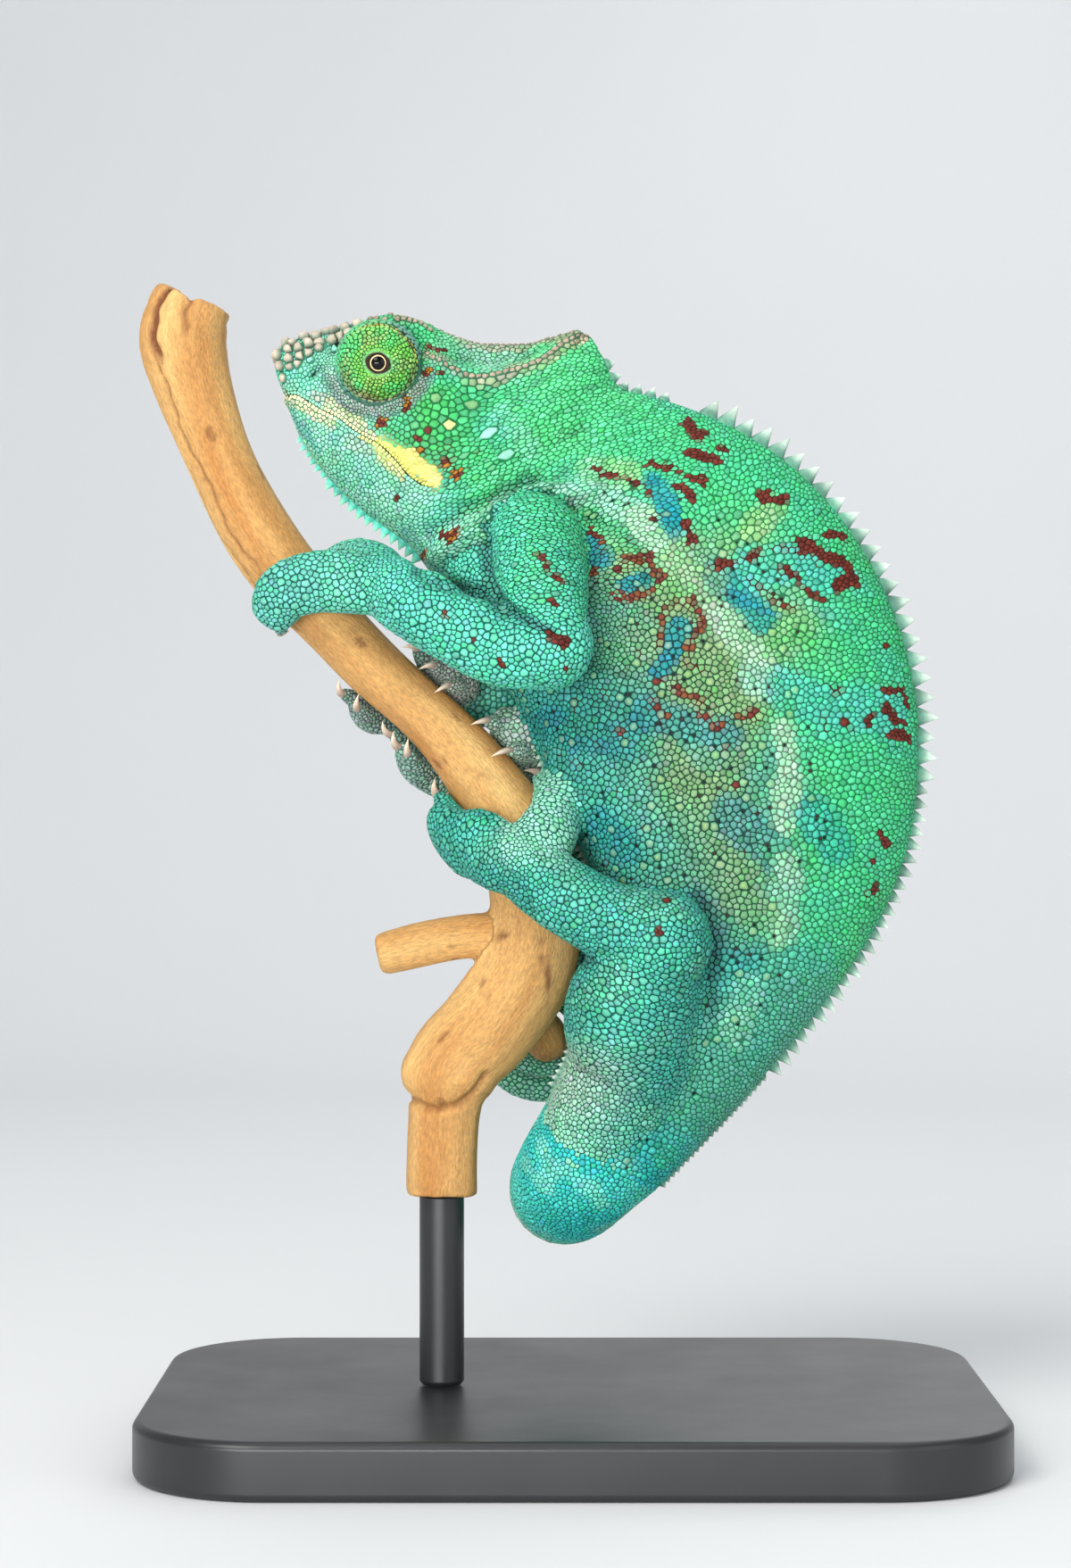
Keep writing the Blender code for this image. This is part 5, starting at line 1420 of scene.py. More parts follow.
def coat_of(surface, seed, turns, keep, with_knobs):
    """Roots of a coat over a surface, how much each grows, and the heights and colours of the knobs."""
    draw = np.random.default_rng(seed)
    roots = scatter(surface, draw, keep)
    own, width, height, names = np.empty((0, 3)), np.empty(0), np.empty(0), []
    if with_knobs:
        own, width, height, names = knobs()
        stray = np.where(width > 1.6, 0.3, 0.1 * (height > 0.15))[:, None]
        own = surface.from_the_side(own + draw.normal(size=own.shape) * stray)
        tree = tree_of(own)
        roots = roots[np.array([tree.find(p)[2] for p in roots.tolist()]) > 0.7]
    plain = len(roots)
    roots = np.vstack([roots, own])
    count = len(roots)
    pinned = np.arange(count) >= plain
    height = np.append(np.zeros(plain), height)
    names = np.array([""] * plain + names)
    read = surface.reader(roots)[1]
    first = read("first")
    on = parts_of(surface.fields["region"][first])
    grow = np.clip(1 + 0.13 * draw.normal(size=count), 0.72, 1.3)
    grow[draw.random(count) < 0.05 + 0.17 * (on.trunk | on.limb)] = 0.68
    low = backness(surface.fields["around"][first]) < 0.66
    grow[(draw.random(count) < 0.035) & on.trunk & low] = SPECK
    grow[draw.random(count) < 0.03 + 0.05 * on.limb] = 1.42
    grow[pinned] = width / read("size")[pinned]
    roots = relax(surface, roots, grow, pinned, turns)
    still = keep(roots) | pinned
    return *(values[still] for values in (roots, grow, pinned, height, names)), draw


def is_covered(points):
    """Whether points are hidden in the perch: nearer to its axis than its radius less a little."""
    x, y, z = points.T
    away = [np.hypot(np.hypot(x - px, z - pz), y) - radius for px, pz, radius in smooth_rows(PERCH, 3)]
    return np.min(away, axis=0) < -0.2


def coat_pieces(surface, prefix, seed, turns, keep, with_knobs, settings):
    """Builds the coat of a surface, one piece to each region, divided where it would have too many faces."""
    roots, grow, pinned, knob_height, names, draw = coat_of(surface, seed, turns, keep, with_knobs)
    cell = cells(surface, roots, grow, draw)
    count = len(roots)
    region, row, around = (surface.fields[k][cell["corner"]] for k in ("region", "row", "around"))
    on, back = parts_of(region), backness(around)
    colour, red, between = paint(cell["places"], region, row, around)
    # painted shade: scale tops and gaps darkened where the skin is concave or grooved, less on the head
    hollow = (cell["hollow"] * (1 - 0.5 * on.head))[:, None]
    colour, between = colour * (1 - 0.5 * hollow * (0.9, 1.0, 0.85)), between * (1 - 0.75 * hollow)

    # plain scales, pale large ones, and those of the red marks
    level = 1 + 0.11 * draw.normal(size=count)[:, None]
    top = colour * np.clip(level + draw.normal(size=(count, 1)) * (0.12, -0.02, 0.09), 0.6, 1.5)
    large = (grow > 1.3) * (0.15 * on.limb + 0.6 * (on.trunk & (back < 0.62)) + 0.2 * on.head)
    crown = mixed(top * 1.1, TINT["straw"] * 0.62, large)
    top = mixed(top, TINT["sage"], large * 0.3)
    red = np.clip(red + 0.10 * draw.normal(size=count) * (red > 0.1), 0, 1)
    rim, low = top * 0.22 + between * 0.78, between
    rust = TINT["rust"] * (0.7 + 0.6 * draw.random((count, 1)))
    ochre = draw.random(count) < 0.35 * on.head + 0.45 * (on.trunk & (back < 0.55))
    rust[ochre] = np.where(on.head[:, None], TINT["ochre"] * 0.7, TINT["tawny"])[ochre]
    full = ramp(red, 0.6, 0.78)
    crown, top = mixed(crown, rust * 1.2, full), mixed(top, rust, full)
    rim = mixed(rim, rust * 0.7, ramp(red, 0.38, 0.55))
    low = mixed(low, TINT["rust"] * 0.3, ramp(red, 0.15, 0.35))
    speck = grow == SPECK
    crown[speck], top[speck] = TINT["ink"] * 0.6, TINT["ink"] * 0.5
    crown[speck & (draw.random(count) < 0.4)] = TINT["rust"] * 0.8

    # heights and gaps, and the knobs
    height = cell["size"] * (0.09 + 0.04 * draw.random(count))
    height = height * np.where(grow > 1.3, 1.3, 1) * settings.relief
    gap = (cell["size"][:, None] * 0.03 + 0.015) * settings.gap
    swell = np.zeros(count)
    for i in np.flatnonzero(pinned):
        crown[i] = TINT[names[i]] * (0.85 + 0.3 * draw.random())
        top[i] = crown[i] * 0.94
        knobby = knob_height[i] > 0.2
        rim[i] = top[i] * (0.45 if knobby else 0.9) + TINT["jade"] * (0.25 if knobby else 0)
        low[i] = top[i] * (0.15 if knobby else 0.55)
        height[i] = knob_height[i] * (0.8 + 0.35 * draw.random())
        swell[i] = min(knob_height[i] / 0.6, 1.0)

    bake = bake_places(surface, cell)
    far = cell["places"][:, 1] > 0
    for k, name in enumerate(REGIONS):
        for word, here in (("", ~far), ("_far", far)):
            rings = PLAIN if word or prefix != "scales" else FINE
            chosen = np.flatnonzero((region == k) & here)
            if len(chosen) < 3:
                continue
            ways = int(np.ceil(len(chosen) * (CORNERS * (2 + 2 * len(rings)) - 2) / PIECE_TRIANGLES))
            for part, group in enumerate(np.array_split(chosen[np.argsort(cell["places"][chosen, 2])], ways)):
                label = f"{prefix}_{name}{word}" + (f"_{part + 1}" if ways > 1 else "")
                own = {key: value[group] for key, value in cell.items()}
                points = dome_points(surface, own, height[group], gap[group], rings, swell[group])
                tints = [tint[group] for tint in (crown, top, rim, low)]
                scale_piece(label, points, tints, bake[group], own["f"], FLESH[name])


# ---------------- materials


class Finish:
    """A material, and short ways to add the nodes that these finishes share."""

    def __init__(self, name):
        self.material = bpy.data.materials.new(name)
        self.material.use_nodes = True
        self.tree = self.material.node_tree

    def fill(self, node, inputs):
        """Links or sets inputs of a node."""
        for key, value in inputs.items():
            if isinstance(value, bpy.types.NodeSocket):
                self.tree.links.new(value, node.inputs[key])
            else:
                node.inputs[key].default_value = value

    def add(self, kind, inputs, **settings):
        """Adds a node and gives its outputs."""
        node = self.tree.nodes.new("ShaderNode" + kind)
        for key, value in settings.items():
            setattr(node, key, value)
        self.fill(node, inputs)
        return node.outputs

    def painted(self, name, output="Color"):
        """What is painted on the piece's points under a name."""
        return self.add("Attribute", {}, attribute_name=name)[output]

    def noise(self, scale, detail, vector=None, roughness=0.5):
        """Noise on the object's own coordinates, or on others."""
        vector = vector or self.add("TexCoord", {})["Object"]
        inputs = {"Vector": vector, "Scale": scale, "Detail": detail, "Roughness": roughness}
        return self.add("TexNoise", inputs)["Fac"]

    def spread(self, value, low, high, start=0.0, end=1.0):
        """Values from start to end stretched over low to high."""
        inputs = {"Value": value, "From Min": start, "From Max": end, "To Min": low, "To Max": high}
        return self.add("MapRange", inputs)["Result"]

    def scaled(self, colour, value):
        """A colour times a value."""
        return self.add("VectorMath", {0: colour, "Scale": value}, operation="SCALE")["Vector"]

    def blend(self, share, first, second):
        """One colour drawn towards another."""
        return self.add("Mix", {"Factor": share, "A": first, "B": second}, data_type="RGBA")["Result"]

    def relief(self, height, strength, distance=0.0001):
        """A surface raised by heights."""
        return self.add("Bump", {"Height": height, "Strength": strength, "Distance": distance})["Normal"]

    def done(self, **sockets):
        """The material, its shader's sockets linked or set."""
        inputs = {name.replace("_", " "): value for name, value in sockets.items()}
        self.fill(self.tree.nodes["Principled BSDF"], inputs)
        return self.material


def scaled_skin_material(name, roughness, bump):
    """Skin: its painted tint with a fine mottle, a satin surface that is duller between the grains, and a
    fine grain in relief."""
    finish = Finish(name)
    mottle = finish.noise(900, 3)
    return finish.done(
        Base_Color=finish.scaled(finish.painted("tint"), finish.spread(mottle, 0.82, 1.16, 0.3, 0.7)),
        Roughness=finish.spread(mottle, roughness - 0.08, roughness + 0.1, 0.3, 0.7),
        Normal=finish.relief(finish.noise(2600, 2), bump),
        Specular_IOR_Level=0.17,
    )


def horn_material(name):
    """Horn of spines and claws: its painted tint with faint streaks, and a soft gloss."""
    finish = Finish(name)
    streak = finish.noise(1400, 3)
    return finish.done(
        Base_Color=finish.scaled(finish.painted("tint"), finish.spread(streak, 0.85, 1.12, 0.3, 0.7)),
        Roughness=0.42,
        Normal=finish.relief(streak, 0.25),
    )


def eye_material(name):
    """The wet eye: its painted rings under a clear gloss."""
    finish = Finish(name)
    return finish.done(
        Base_Color=finish.scaled(finish.painted("tint"), finish.spread(finish.noise(4000, 2), 0.8, 1.2)),
        Roughness=0.12,
        Coat_Weight=0.2,
        Specular_IOR_Level=0.1,
        Coat_Roughness=0.03,
    )


def wood_material(settings):
    """Bare, sand-blasted wood: grain stretched along the branch in its own straightened coordinates, with
    broad warm and pale clouds, dark hair cracks, and small knots of stain painted on it."""
    finish = Finish("perch_wood")
    grain = finish.painted("grain", "Vector")
    long = finish.add("Mapping", {"Vector": grain, "Scale": (1, 1, 0.12)})["Vector"]
    short = finish.add("Mapping", {"Vector": grain, "Scale": (1, 1, 0.3)})["Vector"]
    clouds = finish.spread(finish.noise(0.12, 4, long, 0.55), 0, 1, 0.34, 0.66)
    fibres = finish.noise(2.6, 5, short, 0.7)
    tones = finish.blend(clouds, (*linear(settings.wood_dark), 1), (*linear(settings.wood_light), 1))
    wood = finish.scaled(tones, finish.spread(fibres, 0.6, 1.18, 0.3, 0.7))
    return finish.done(
        Base_Color=finish.blend(finish.painted("stain", "Fac"), wood, (*TINT["knot"], 1)),
        Roughness=finish.spread(fibres, 0.5, 0.72),
        Normal=finish.relief(fibres, 0.8, 0.0005),
        Specular_IOR_Level=0.35,
    )


def lacquer_material(settings):
    """Black satin lacquer of the stand, with a faint orange-peel and uneven gloss."""
    finish = Finish("stand_lacquer")
    cloud = finish.noise(60, 5)
    return finish.done(
        Base_Color=finish.scaled(tuple(linear(settings.stand_colour)), finish.spread(cloud, 0.85, 1.2)),
        Roughness=finish.spread(cloud, 0.3, 0.46),
        Normal=finish.relief(finish.noise(900, 2), 0.12),
    )


def floor_material(settings):
    """Pale paper with faint clouds."""
    finish = Finish("floor_paper")
    shade = finish.spread(finish.noise(3, 2), 0.97, 1.03)
    return finish.done(
        Base_Color=finish.scaled(tuple(linear(settings.floor)), shade),
        Roughness=0.9,
        Specular_IOR_Level=0.1,
    )


@functools.cache
def shared_material(name):
    """A material made once: skin, scales, the wet eye or a horn."""
    if name == "scales":
        return scaled_skin_material("scales", 0.46, 0.25)
    if name == "skin":
        return scaled_skin_material("skin_between", 0.62, 0.4)
    return eye_material(name) if name == "eye_wet" else horn_material(name)


# ---------------- settings


class ChameleonCoat(bpy.types.PropertyGroup):
    relief: FloatProperty(
        name="Relief", description="Height of the scales", default=1.0, min=0.2, max=2.0, subtype="FACTOR"
    )
    gap: FloatProperty(
        name="Gaps", description="Width of the gaps", default=1.0, min=0.2, max=2.0, subtype="FACTOR"
    )
    turns: IntProperty(
        name="Settling", description="Rounds in which scales push each other apart", default=18, min=2, max=60
    )


class ChameleonEye(bpy.types.PropertyGroup):
    pupil: FloatProperty(name="Pupil", description="Radius of the pupil", default=1.2 * MM, unit="LENGTH")
    ring: FloatProperty(
        name="Golden ring", description="Outer radius of the golden ring", default=1.42 * MM, unit="LENGTH"
    )
    gold: FloatVectorProperty(
        name="Gold", description="Colour of the ring, 0 to 255", default=(236, 214, 158), min=0, max=255
    )


class ChameleonPerch(bpy.types.PropertyGroup):
    wood_light: FloatVectorProperty(
        name="Light wood", description="Pale tone, 0 to 255", default=(236, 190, 120), min=0, max=255
    )
    wood_dark: FloatVectorProperty(
        name="Dark wood", description="Warm tone, 0 to 255", default=(198, 138, 74), min=0, max=255
    )
    grain_size: FloatProperty(
        name="Grain", description="Size of the faces of the wood", default=0.62 * MM, unit="LENGTH"
    )


class ChameleonStand(bpy.types.PropertyGroup):
    stand_colour: FloatVectorProperty(
        name="Lacquer", description="Colour of the stand, 0 to 255", default=(34, 35, 37), min=0, max=255
    )
    edge: FloatProperty(name="Edge", description="Rounding of the edges", default=1.5 * MM, unit="LENGTH")


class ChameleonStage(bpy.types.PropertyGroup):
    floor: FloatVectorProperty(
        name="Floor", description="Colour of the floor, 0 to 255", default=(226, 227, 228), min=0, max=255
    )
    key: FloatProperty(name="Key light", description="Power of the key light", default=10.0, unit="POWER")
    front: FloatProperty(
        name="Front light", description="Power of the light beside the camera", default=13.0, unit="POWER"
    )
    fill: FloatProperty(name="Fill light", description="Power of the fill light", default=3.6, unit="POWER")


# ---------------- builders


class CHAMELEON_OT_skin(bpy.types.Operator):
    """Builds the skin under the scales, with its folds, and the skin of the coiled tail"""

    bl_idname = "chameleon.skin"
    bl_label = "Skin"

    def execute(self, context):
        for name, surface in (("skin", skin_surface()), ("skin_tail_coil", tail_coil())):
            fields, caps = surface.fields, getattr(surface, "caps", [])
            _, red, tint = paint(surface.points, fields["region"], fields["row"], fields["around"])
            nodes = FLESH["tail"]
            if name == "skin":
                tint = mixed(tint, TINT["rust"] * 0.35, ramp(red, 0.25, 0.5))
                # painted shade: the skin darkened where it is concave or grooved
                tint = tint * (1 - 0.75 * fields["hollow"][:, None])
                nodes = [node for names in FLESH.values() for node in names]
            mesh = mesh_from(name, surface.points, surface.quads, caps)
            add_piece(mesh, shared_material("skin"), nodes, tint)
        return {"FINISHED"}


class CHAMELEON_OT_scales(bpy.types.Operator):
    """Covers the skin with scales, each a closed dome, with the knobs of snout, crest and lips"""

    bl_idname = "chameleon.scales"
    bl_label = "Scales"

    def execute(self, context):
        settings = context.scene.chameleon_coat
        turns = settings.turns
        coil = tail_coil()
        end = coil.points[:TAIL_SIDES].mean(0)

        def in_the_open(points):
            """Whether points are clear of the perch and further than a turret's radius from each eye."""
            lids = [np.linalg.norm(points - EYE_CENTRE * (1, side, 1), axis=1) for side in (-1, 1)]
            return ~is_covered(points) & (np.min(lids, axis=0) > EYELID_RADIUS + 0.1)

        def off_the_end(points):
            """The same, and further than 0.5 mm from the middle of the coil's start."""
            return in_the_open(points) & (np.linalg.norm(points - end, axis=1) > 0.5)

        coat_pieces(skin_surface(), "scales", 11, turns, off_the_end, True, settings)
        coat_pieces(coil, "scales_coil", 12, turns, in_the_open, False, settings)
        return {"FINISHED"}


def outline_of(column, start, end=None):
    """Points and outward directions down part of the back (column 0) or the underside (column 2)."""
    rows = smooth_rows(BODY, SPINE_STEPS)
    outline = upright(rows[:, column], rows[:, column + 1])
    across = outline - upright(rows[:, 2 - column], rows[:, 3 - column])
    tangent = run_of(outline)
    away = upright(-tangent[:, 2], tangent[:, 0])
    away = away * np.sign(np.sum(away * across, axis=1))[:, None]
    return outline[start:end], away[start:end]


def spine_shells(outline, away, rows, thickness):
    """Flat horns in a row. At share t of the height h the section is an oval of half length b/2 (1 - t)^0.9
    and half width w/2 (1 - t)^0.8, and its middle has moved back by lean b t^1.5."""
    length = down_path(outline)
    a = round_turn(12)
    t = np.array([-0.45, -0.1, 0.05, 0.2, 0.38, 0.56, 0.74, 0.9, 0.985])
    over = np.clip(t, 0, 1)
    flare = 1 + 0.25 * np.clip(-t, 0, 1)
    half = thickness * 0.55 * (1 - over) ** 0.8 * flare
    made = []
    draw = np.random.default_rng(8)
    for first, last, count, full, base in rows:
        for place in np.linspace(first, last, count) * length[-1]:
            height = full * draw.uniform(0.7, 1.0)
            foot, out = rows_at(place, length, outline), unit(rows_at(place, length, away))
            along = unit(rows_at(place + 1, length, outline) - foot)
            reach = base * 0.62 * (1 - over) ** 0.9 * flare
            middle = foot + np.outer(t * height, out) + np.outer(SPINE_LEAN * base * 1.2 * over**1.5, along)
            oval = reach[:, None, None] * np.cos(a)[None, :, None] * along
            oval[..., 1] += half[:, None] * np.sin(a)
            made.append(closed_shell(middle[:, None] + oval))
    return joined(made), np.tile(np.append(np.repeat(over, len(a)), [0, 1]), len(made))


class CHAMELEON_OT_spines(bpy.types.Operator):
    """Builds the crest of spines down the back and the rows down the belly and under the chin"""

    bl_idname = "chameleon.spines"
    bl_label = "Spines"

    def execute(self, context):
        horn, chin = (TINT["horn"], TINT["horn_tip"]), (TINT["pool"], TINT["mint"] * 1.1)
        neck, back = NECK_ROW * SPINE_STEPS, 14 * SPINE_STEPS
        for name, line, rows, thickness, node, (root, tip) in (
            ("spines_nape", outline_of(0, 12 * SPINE_STEPS, back + 3), NAPE_SPINES, 1.3, "neck", horn),
            ("spines_back", outline_of(0, back), BACK_SPINES, SPINE_THICKNESS, "trunk", horn),
            ("spines_belly", outline_of(2, neck), BELLY_SPINES, 0.9, "trunk", horn),
            ("spines_chin", outline_of(2, 0, neck + 1), CHIN_SPINES, 1.1, "lower_jaw", chin),
        ):
            made, share = spine_shells(*line, rows, thickness)
            tint = mixed(root, tip, ramp(share, 0.05, 0.8)) * (1 + 0.12 * waves(made[0], 2.0, 9)[:, None])
            add_piece(mesh_from(name, *made), shared_material("horn_of_spines"), [node], tint)
        return {"FINISHED"}


def lid_frame(side):
    """The middle of an eye turret, its aim, the direction across it to the snout, and the one up it."""
    aim = unit(EYE_AIM) * (1, side, 1)
    forward = unit(np.cross(aim, (0, 0, 1)))
    forward *= -np.sign(forward[0])
    up = np.cross(aim, forward)
    return EYE_CENTRE * (1, side, 1), aim, forward, up * np.sign(up[2])


def lid_place(points, side):
    """Degrees from the aim, and degrees round it: 0 to the snout, 90 up and 180 to the back."""
    centre, aim, forward, up = lid_frame(side)
    ray = unit(points - centre)
    return np.degrees(np.arccos(np.clip(ray @ aim, -1, 1))), np.degrees(np.arctan2(ray @ up, ray @ forward))


# Folds of the eyelids: degrees from the aim, degrees wide, depth, where round the aim they are deepest,
# and how much further round they go
LID_FOLDS = [
    (67, 2, 0.75, -160, 0.35), (60, 1.8, 0.3, 150, 0), (57, 1.8, 0.4, -90, -0.1), (74, 3, 0.5, -110, 0.3),
    (48, 1.8, 0.3, -110, -0.3), (83, 3, 0.4, 180, 0.4), (40, 1.5, 0.15, -130, -0.5),
]


def lid_folds(degrees, turn):
    """How deep the folds of an eyelid are at angles from its aim and round it."""
    depth = 0
    for at, wide, deep, facing, more in LID_FOLDS:
        share = np.clip(more + np.cos(turn - np.radians(facing)), 0, 1)
        depth = depth + deep * share * bell(degrees - at - 1.5 * np.sin(turn * 3 + at), wide)
    return depth


def lid_rings(side):
    """An eyelid round the eye's axis, at angle e from it, a dome of radius R with folds:
    r(e, a) = R - sum of depth exp(-((e - e0) / width)^2) clip(more + cos(a - a0)), its inner edge drawn in to
    the eye."""
    centre, aim, forward, up = lid_frame(side)
    degrees = np.concatenate([[10.4, 11.4], np.linspace(12.4, 112, 84)])
    e, a = np.radians(degrees)[:, None], round_turn(112)[None]
    radius = EYELID_RADIUS - 0.3 - lid_folds(degrees[:, None], a)
    radius -= 0.12 * bell(degrees[:, None] - 18.5, 1.6)
    radius += 0.10 * bell(degrees[:, None] - 14.5, 1.5)
    radius[0] -= 0.8
    radius[1] -= 0.25
    height, out = radius * np.cos(e), radius * np.sin(e)
    across = (out * np.cos(a))[..., None] * forward + (out * np.sin(a))[..., None] * up
    return centre + height[..., None] * aim + across, degrees


def lid_colours(points, side):
    """Colours of a lid: green, yellower towards the upper back edge, brown in the lower folds, grey outside
    them, with painted shade darkening the folds, and a dark almond with a pale border round the opening."""
    e, a = lid_place(points, side)
    turn = np.radians(a)
    wander, fine = waves(points, 1.6, 31), waves(points, 0.5, 32)
    colour = np.tile(TINT["lime"], (len(points), 1))

    def lay(name, amount):
        """Mixes a tint into the colour by an amount from 0 to 1."""
        nonlocal colour
        colour = mixed(colour, TINT[name], np.clip(amount, 0, 1))

    def facing(degrees):
        """How much each place faces an angle: cos(turn - angle), at least 0."""
        return np.clip(np.cos(turn - np.radians(degrees)), 0, 1)

    below, behind, front = np.clip(-np.sin(turn), 0, 1), np.clip(-np.cos(turn), 0, 1), facing(0)
    lay("leaf", 0.7 * ramp(waves(points, 1.1, 33), -0.4, 0.8))
    lay("spring", 0.6 * front * ramp(e, 25, 50))
    lay("straw", 0.3 * ramp(fine + wander, 0.6, 1.8) * (1 - ramp(e, 50, 60)))
    lay("straw", 0.7 * bell(e - 60, 4) * facing(130))
    lay("ochre", 0.6 * bell(e - 63, 2) * facing(115))
    lay("bronze", 0.3 * ramp(wander, 0.0, 1.5) * ramp(e, 22, 34))
    lay("bronze", 0.6 * below * bell(e - 52, 5) * (0.7 + 0.5 * wander))
    lay("rose", 0.85 * below * bell(e - 61, 5))
    lay("slate", 0.95 * ramp(e, 65, 70) * np.clip(0.5 + below + behind, 0, 1))
    lay("umber", 0.3 * front * bell(e - 62, 6) * ramp(wander, -0.3, 0.8))
    lay("rust", 0.7 * bell(e - 56, 4) * bell(np.abs(a) - 150, 12) * (a < 0))
    # painted shade: darker where the folds are deep
    colour = colour * (1 - 0.75 * ramp(lid_folds(e, turn), 0.05, 0.6))[:, None]
    across, over = e * np.cos(turn - 0.26), e * np.sin(turn - 0.26)
    almond = (np.abs(across) / 17.5) ** 1.5 + (np.abs(over) / 14.6) ** 2
    lay("sage", (1 - ramp(almond, 1.2, 1.9)) * 0.8)
    lay("umber", 1 - ramp(almond, 0.95, 1.12))
    return colour


class CHAMELEON_OT_eyes(bpy.types.Operator):
    """Builds the two scaled eye turrets and the small wet eyes in them"""

    bl_idname = "chameleon.eyes"
    bl_label = "Eyes"

    def execute(self, context):
        for side, word in ((-1, "left"), (1, "right")):
            self.lid(word, side, context.scene.chameleon_coat)
            self.ball(word, side, context.scene.chameleon_eye)
        return {"FINISHED"}

    def lid(self, word, side, coat):
        """The turret's skin, a grid of rings, and the scales on it."""
        rings, degrees = lid_rings(side)
        centre, aim = lid_frame(side)[:2]
        points = rings.reshape(-1, 3)
        quads = grid_faces(*rings.shape[:2])
        corner = points[quads[:, :3]]
        facing = np.cross(corner[:, 1] - corner[:, 0], corner[:, 2] - corner[:, 0])
        if (facing * (corner[:, 0] - centre)).sum() < 0:
            quads = quads[:, ::-1]
        surface = Surface(points, quads, ["body"])
        e, n = np.repeat(degrees, rings.shape[1]), len(points)
        surface.fields.update(
            size=0.58 + 0.32 * ramp(e, 18, 50), stretch=1 + 0.35 * ramp(e, 50, 70), hollow=np.zeros(n),
            lie=unit(np.cross(points - centre, aim)), owner=np.zeros(n, int),
            around=(0.25 if side > 0 else 0.75) + 0.04 * (points[:, 2] - centre[2]) / 8,
            along=0.2 + 0.03 * (points[:, 0] - centre[0]) / 8,
        )
        tint = lid_colours(points, side) * np.where(e > 20, 0.14, 1.0)[:, None]
        mesh = mesh_from(f"eyelid_skin_{word}", points, quads)
        add_piece(mesh, shared_material("skin"), [f"eyelid_{word}"], tint)

        draw = np.random.default_rng(21)
        roots = scatter(surface, draw, lambda p: (lid_place(p, side)[0] > 18) & (lid_place(p, side)[0] < 104))
        grow = np.clip(1 + 0.16 * draw.normal(size=len(roots)), 0.65, 1.4)
        roots = relax(surface, roots, grow, np.zeros(len(roots), bool), 12)
        roots = roots[lid_place(roots, side)[0] > 17]
        cell = cells(surface, roots, grow[: len(roots)], draw)
        level = np.clip(1.05 + 0.11 * draw.normal(size=(len(roots), 1)), 0.7, 1.5)
        top = lid_colours(cell["places"], side) * level
        size = cell["size"]
        points = dome_points(surface, cell, size * 0.2 * coat.relief, size[:, None] * 0.04, PLAIN, 0.3, 0.12)
        tints = (top * 1.05, top, top * 0.72, top * (0.16, 0.22, 0.18))
        bake = bake_places(surface, cell)
        scale_piece(f"scales_eyelid_{word}", points, tints, bake, cell["f"], [f"eyelid_{word}"])

    def ball(self, word, side, settings):
        """A ball round the eye's axis: p = c + R (cos(e) aim + sin(e) (cos(a) forward + sin(a) up))."""
        centre, aim, forward, up = lid_frame(side)
        e = np.radians(np.linspace(0.8, 179.2, 90))[:, None, None]
        a = round_turn(72)[None, :, None]
        middle = centre + aim * (EYE_DEPTH - 0.3)
        across = np.sin(e) * (np.cos(a) * forward + np.sin(a) * up)
        rings = middle + EYE_RADIUS * 0.985 * (np.cos(e) * aim + across)
        points, quads, tris = closed_shell(rings)
        depth = (points - middle) @ aim
        out = np.linalg.norm((points - middle) - depth[:, None] * aim, axis=1)
        out[depth < 0] = 9
        colour = np.where((out < settings.pupil / MM)[:, None], 0.004, linear(settings.gold))
        colour = np.where((out > settings.ring / MM)[:, None], TINT["umber"] * 0.6, colour)
        mesh = mesh_from(f"eyeball_{word}", points, quads, tris)
        add_piece(mesh, shared_material("eye_wet"), [f"eye_{word}"], colour)


class CHAMELEON_OT_claws(bpy.types.Operator):
    """Builds the curved claws at the tips of the toes"""

    bl_idname = "chameleon.claws"
    bl_label = "Claws"

    def execute(self, context):
        """Each claw runs on from its toe over the bark: its height over the wood falls from the toe's to
        nothing along a curve, and its radius is r (1 - t^2.2)."""
        sides, girth = 12, 4 * TOE_RADIUS
        t = np.linspace(0, 1, 12)
        reach = t * (CLAW_LENGTH * 0.62 + TOE_RADIUS)
        radius = CLAW_RADIUS * np.maximum(1 - t**2.2, 0.05)
        for limb in ("arm_left", "arm_right", "leg_left", "leg_right"):
            word = ("hand" if "arm" in limb else "foot") + limb[3:]
            made = []
            feet = [toe_places(*bundle) for name, bundle in FEET.items() if word in name]
            for places in (toe for toes in feet for toe in toes):
                down, degrees, lift = places[-1]
                heading = unit((places[-1] - places[-2])[:2] * (1, np.radians(girth)))
                turned = degrees + np.degrees(reach * heading[1] / girth)
                over = lift + 0.4 * np.sin(np.pi * t) - (lift - 0.3) * t**2
                path, away = on_bark(np.column_stack([down + reach * heading[0], turned, over]))
                rings = tube(path, radius * 1.1, radius * 0.8, away[0], sides, False, False)
                made.append(closed_shell(rings))
            share = np.tile(np.append(np.repeat(t, sides), [0, 1]), len(made))
            tint = mixed(TINT["claw"], TINT["claw_tip"], ramp(share, 0.2, 0.9))
            nodes = [name for name in FLESH[limb] if name.startswith(word[:4])]
            mesh = mesh_from(f"claws_{limb}", *joined(made))
            add_piece(mesh, shared_material("horn_of_claws"), nodes, tint)
        return {"FINISHED"}


def straightened(rings, index):
    """Coordinates along a tube of wood for each of its points: (r cos a, r sin a, distance), further on by
    GRAIN_STEP for each tube."""
    middle = rings.mean(1)
    out = np.linalg.norm(rings - middle[:, None], axis=-1)
    a = round_turn(rings.shape[1])
    down = np.repeat(down_path(middle)[:, None], len(a), 1) + GRAIN_STEP * index
    return np.stack([out * np.cos(a), out * np.sin(a), down], -1).reshape(-1, 3)


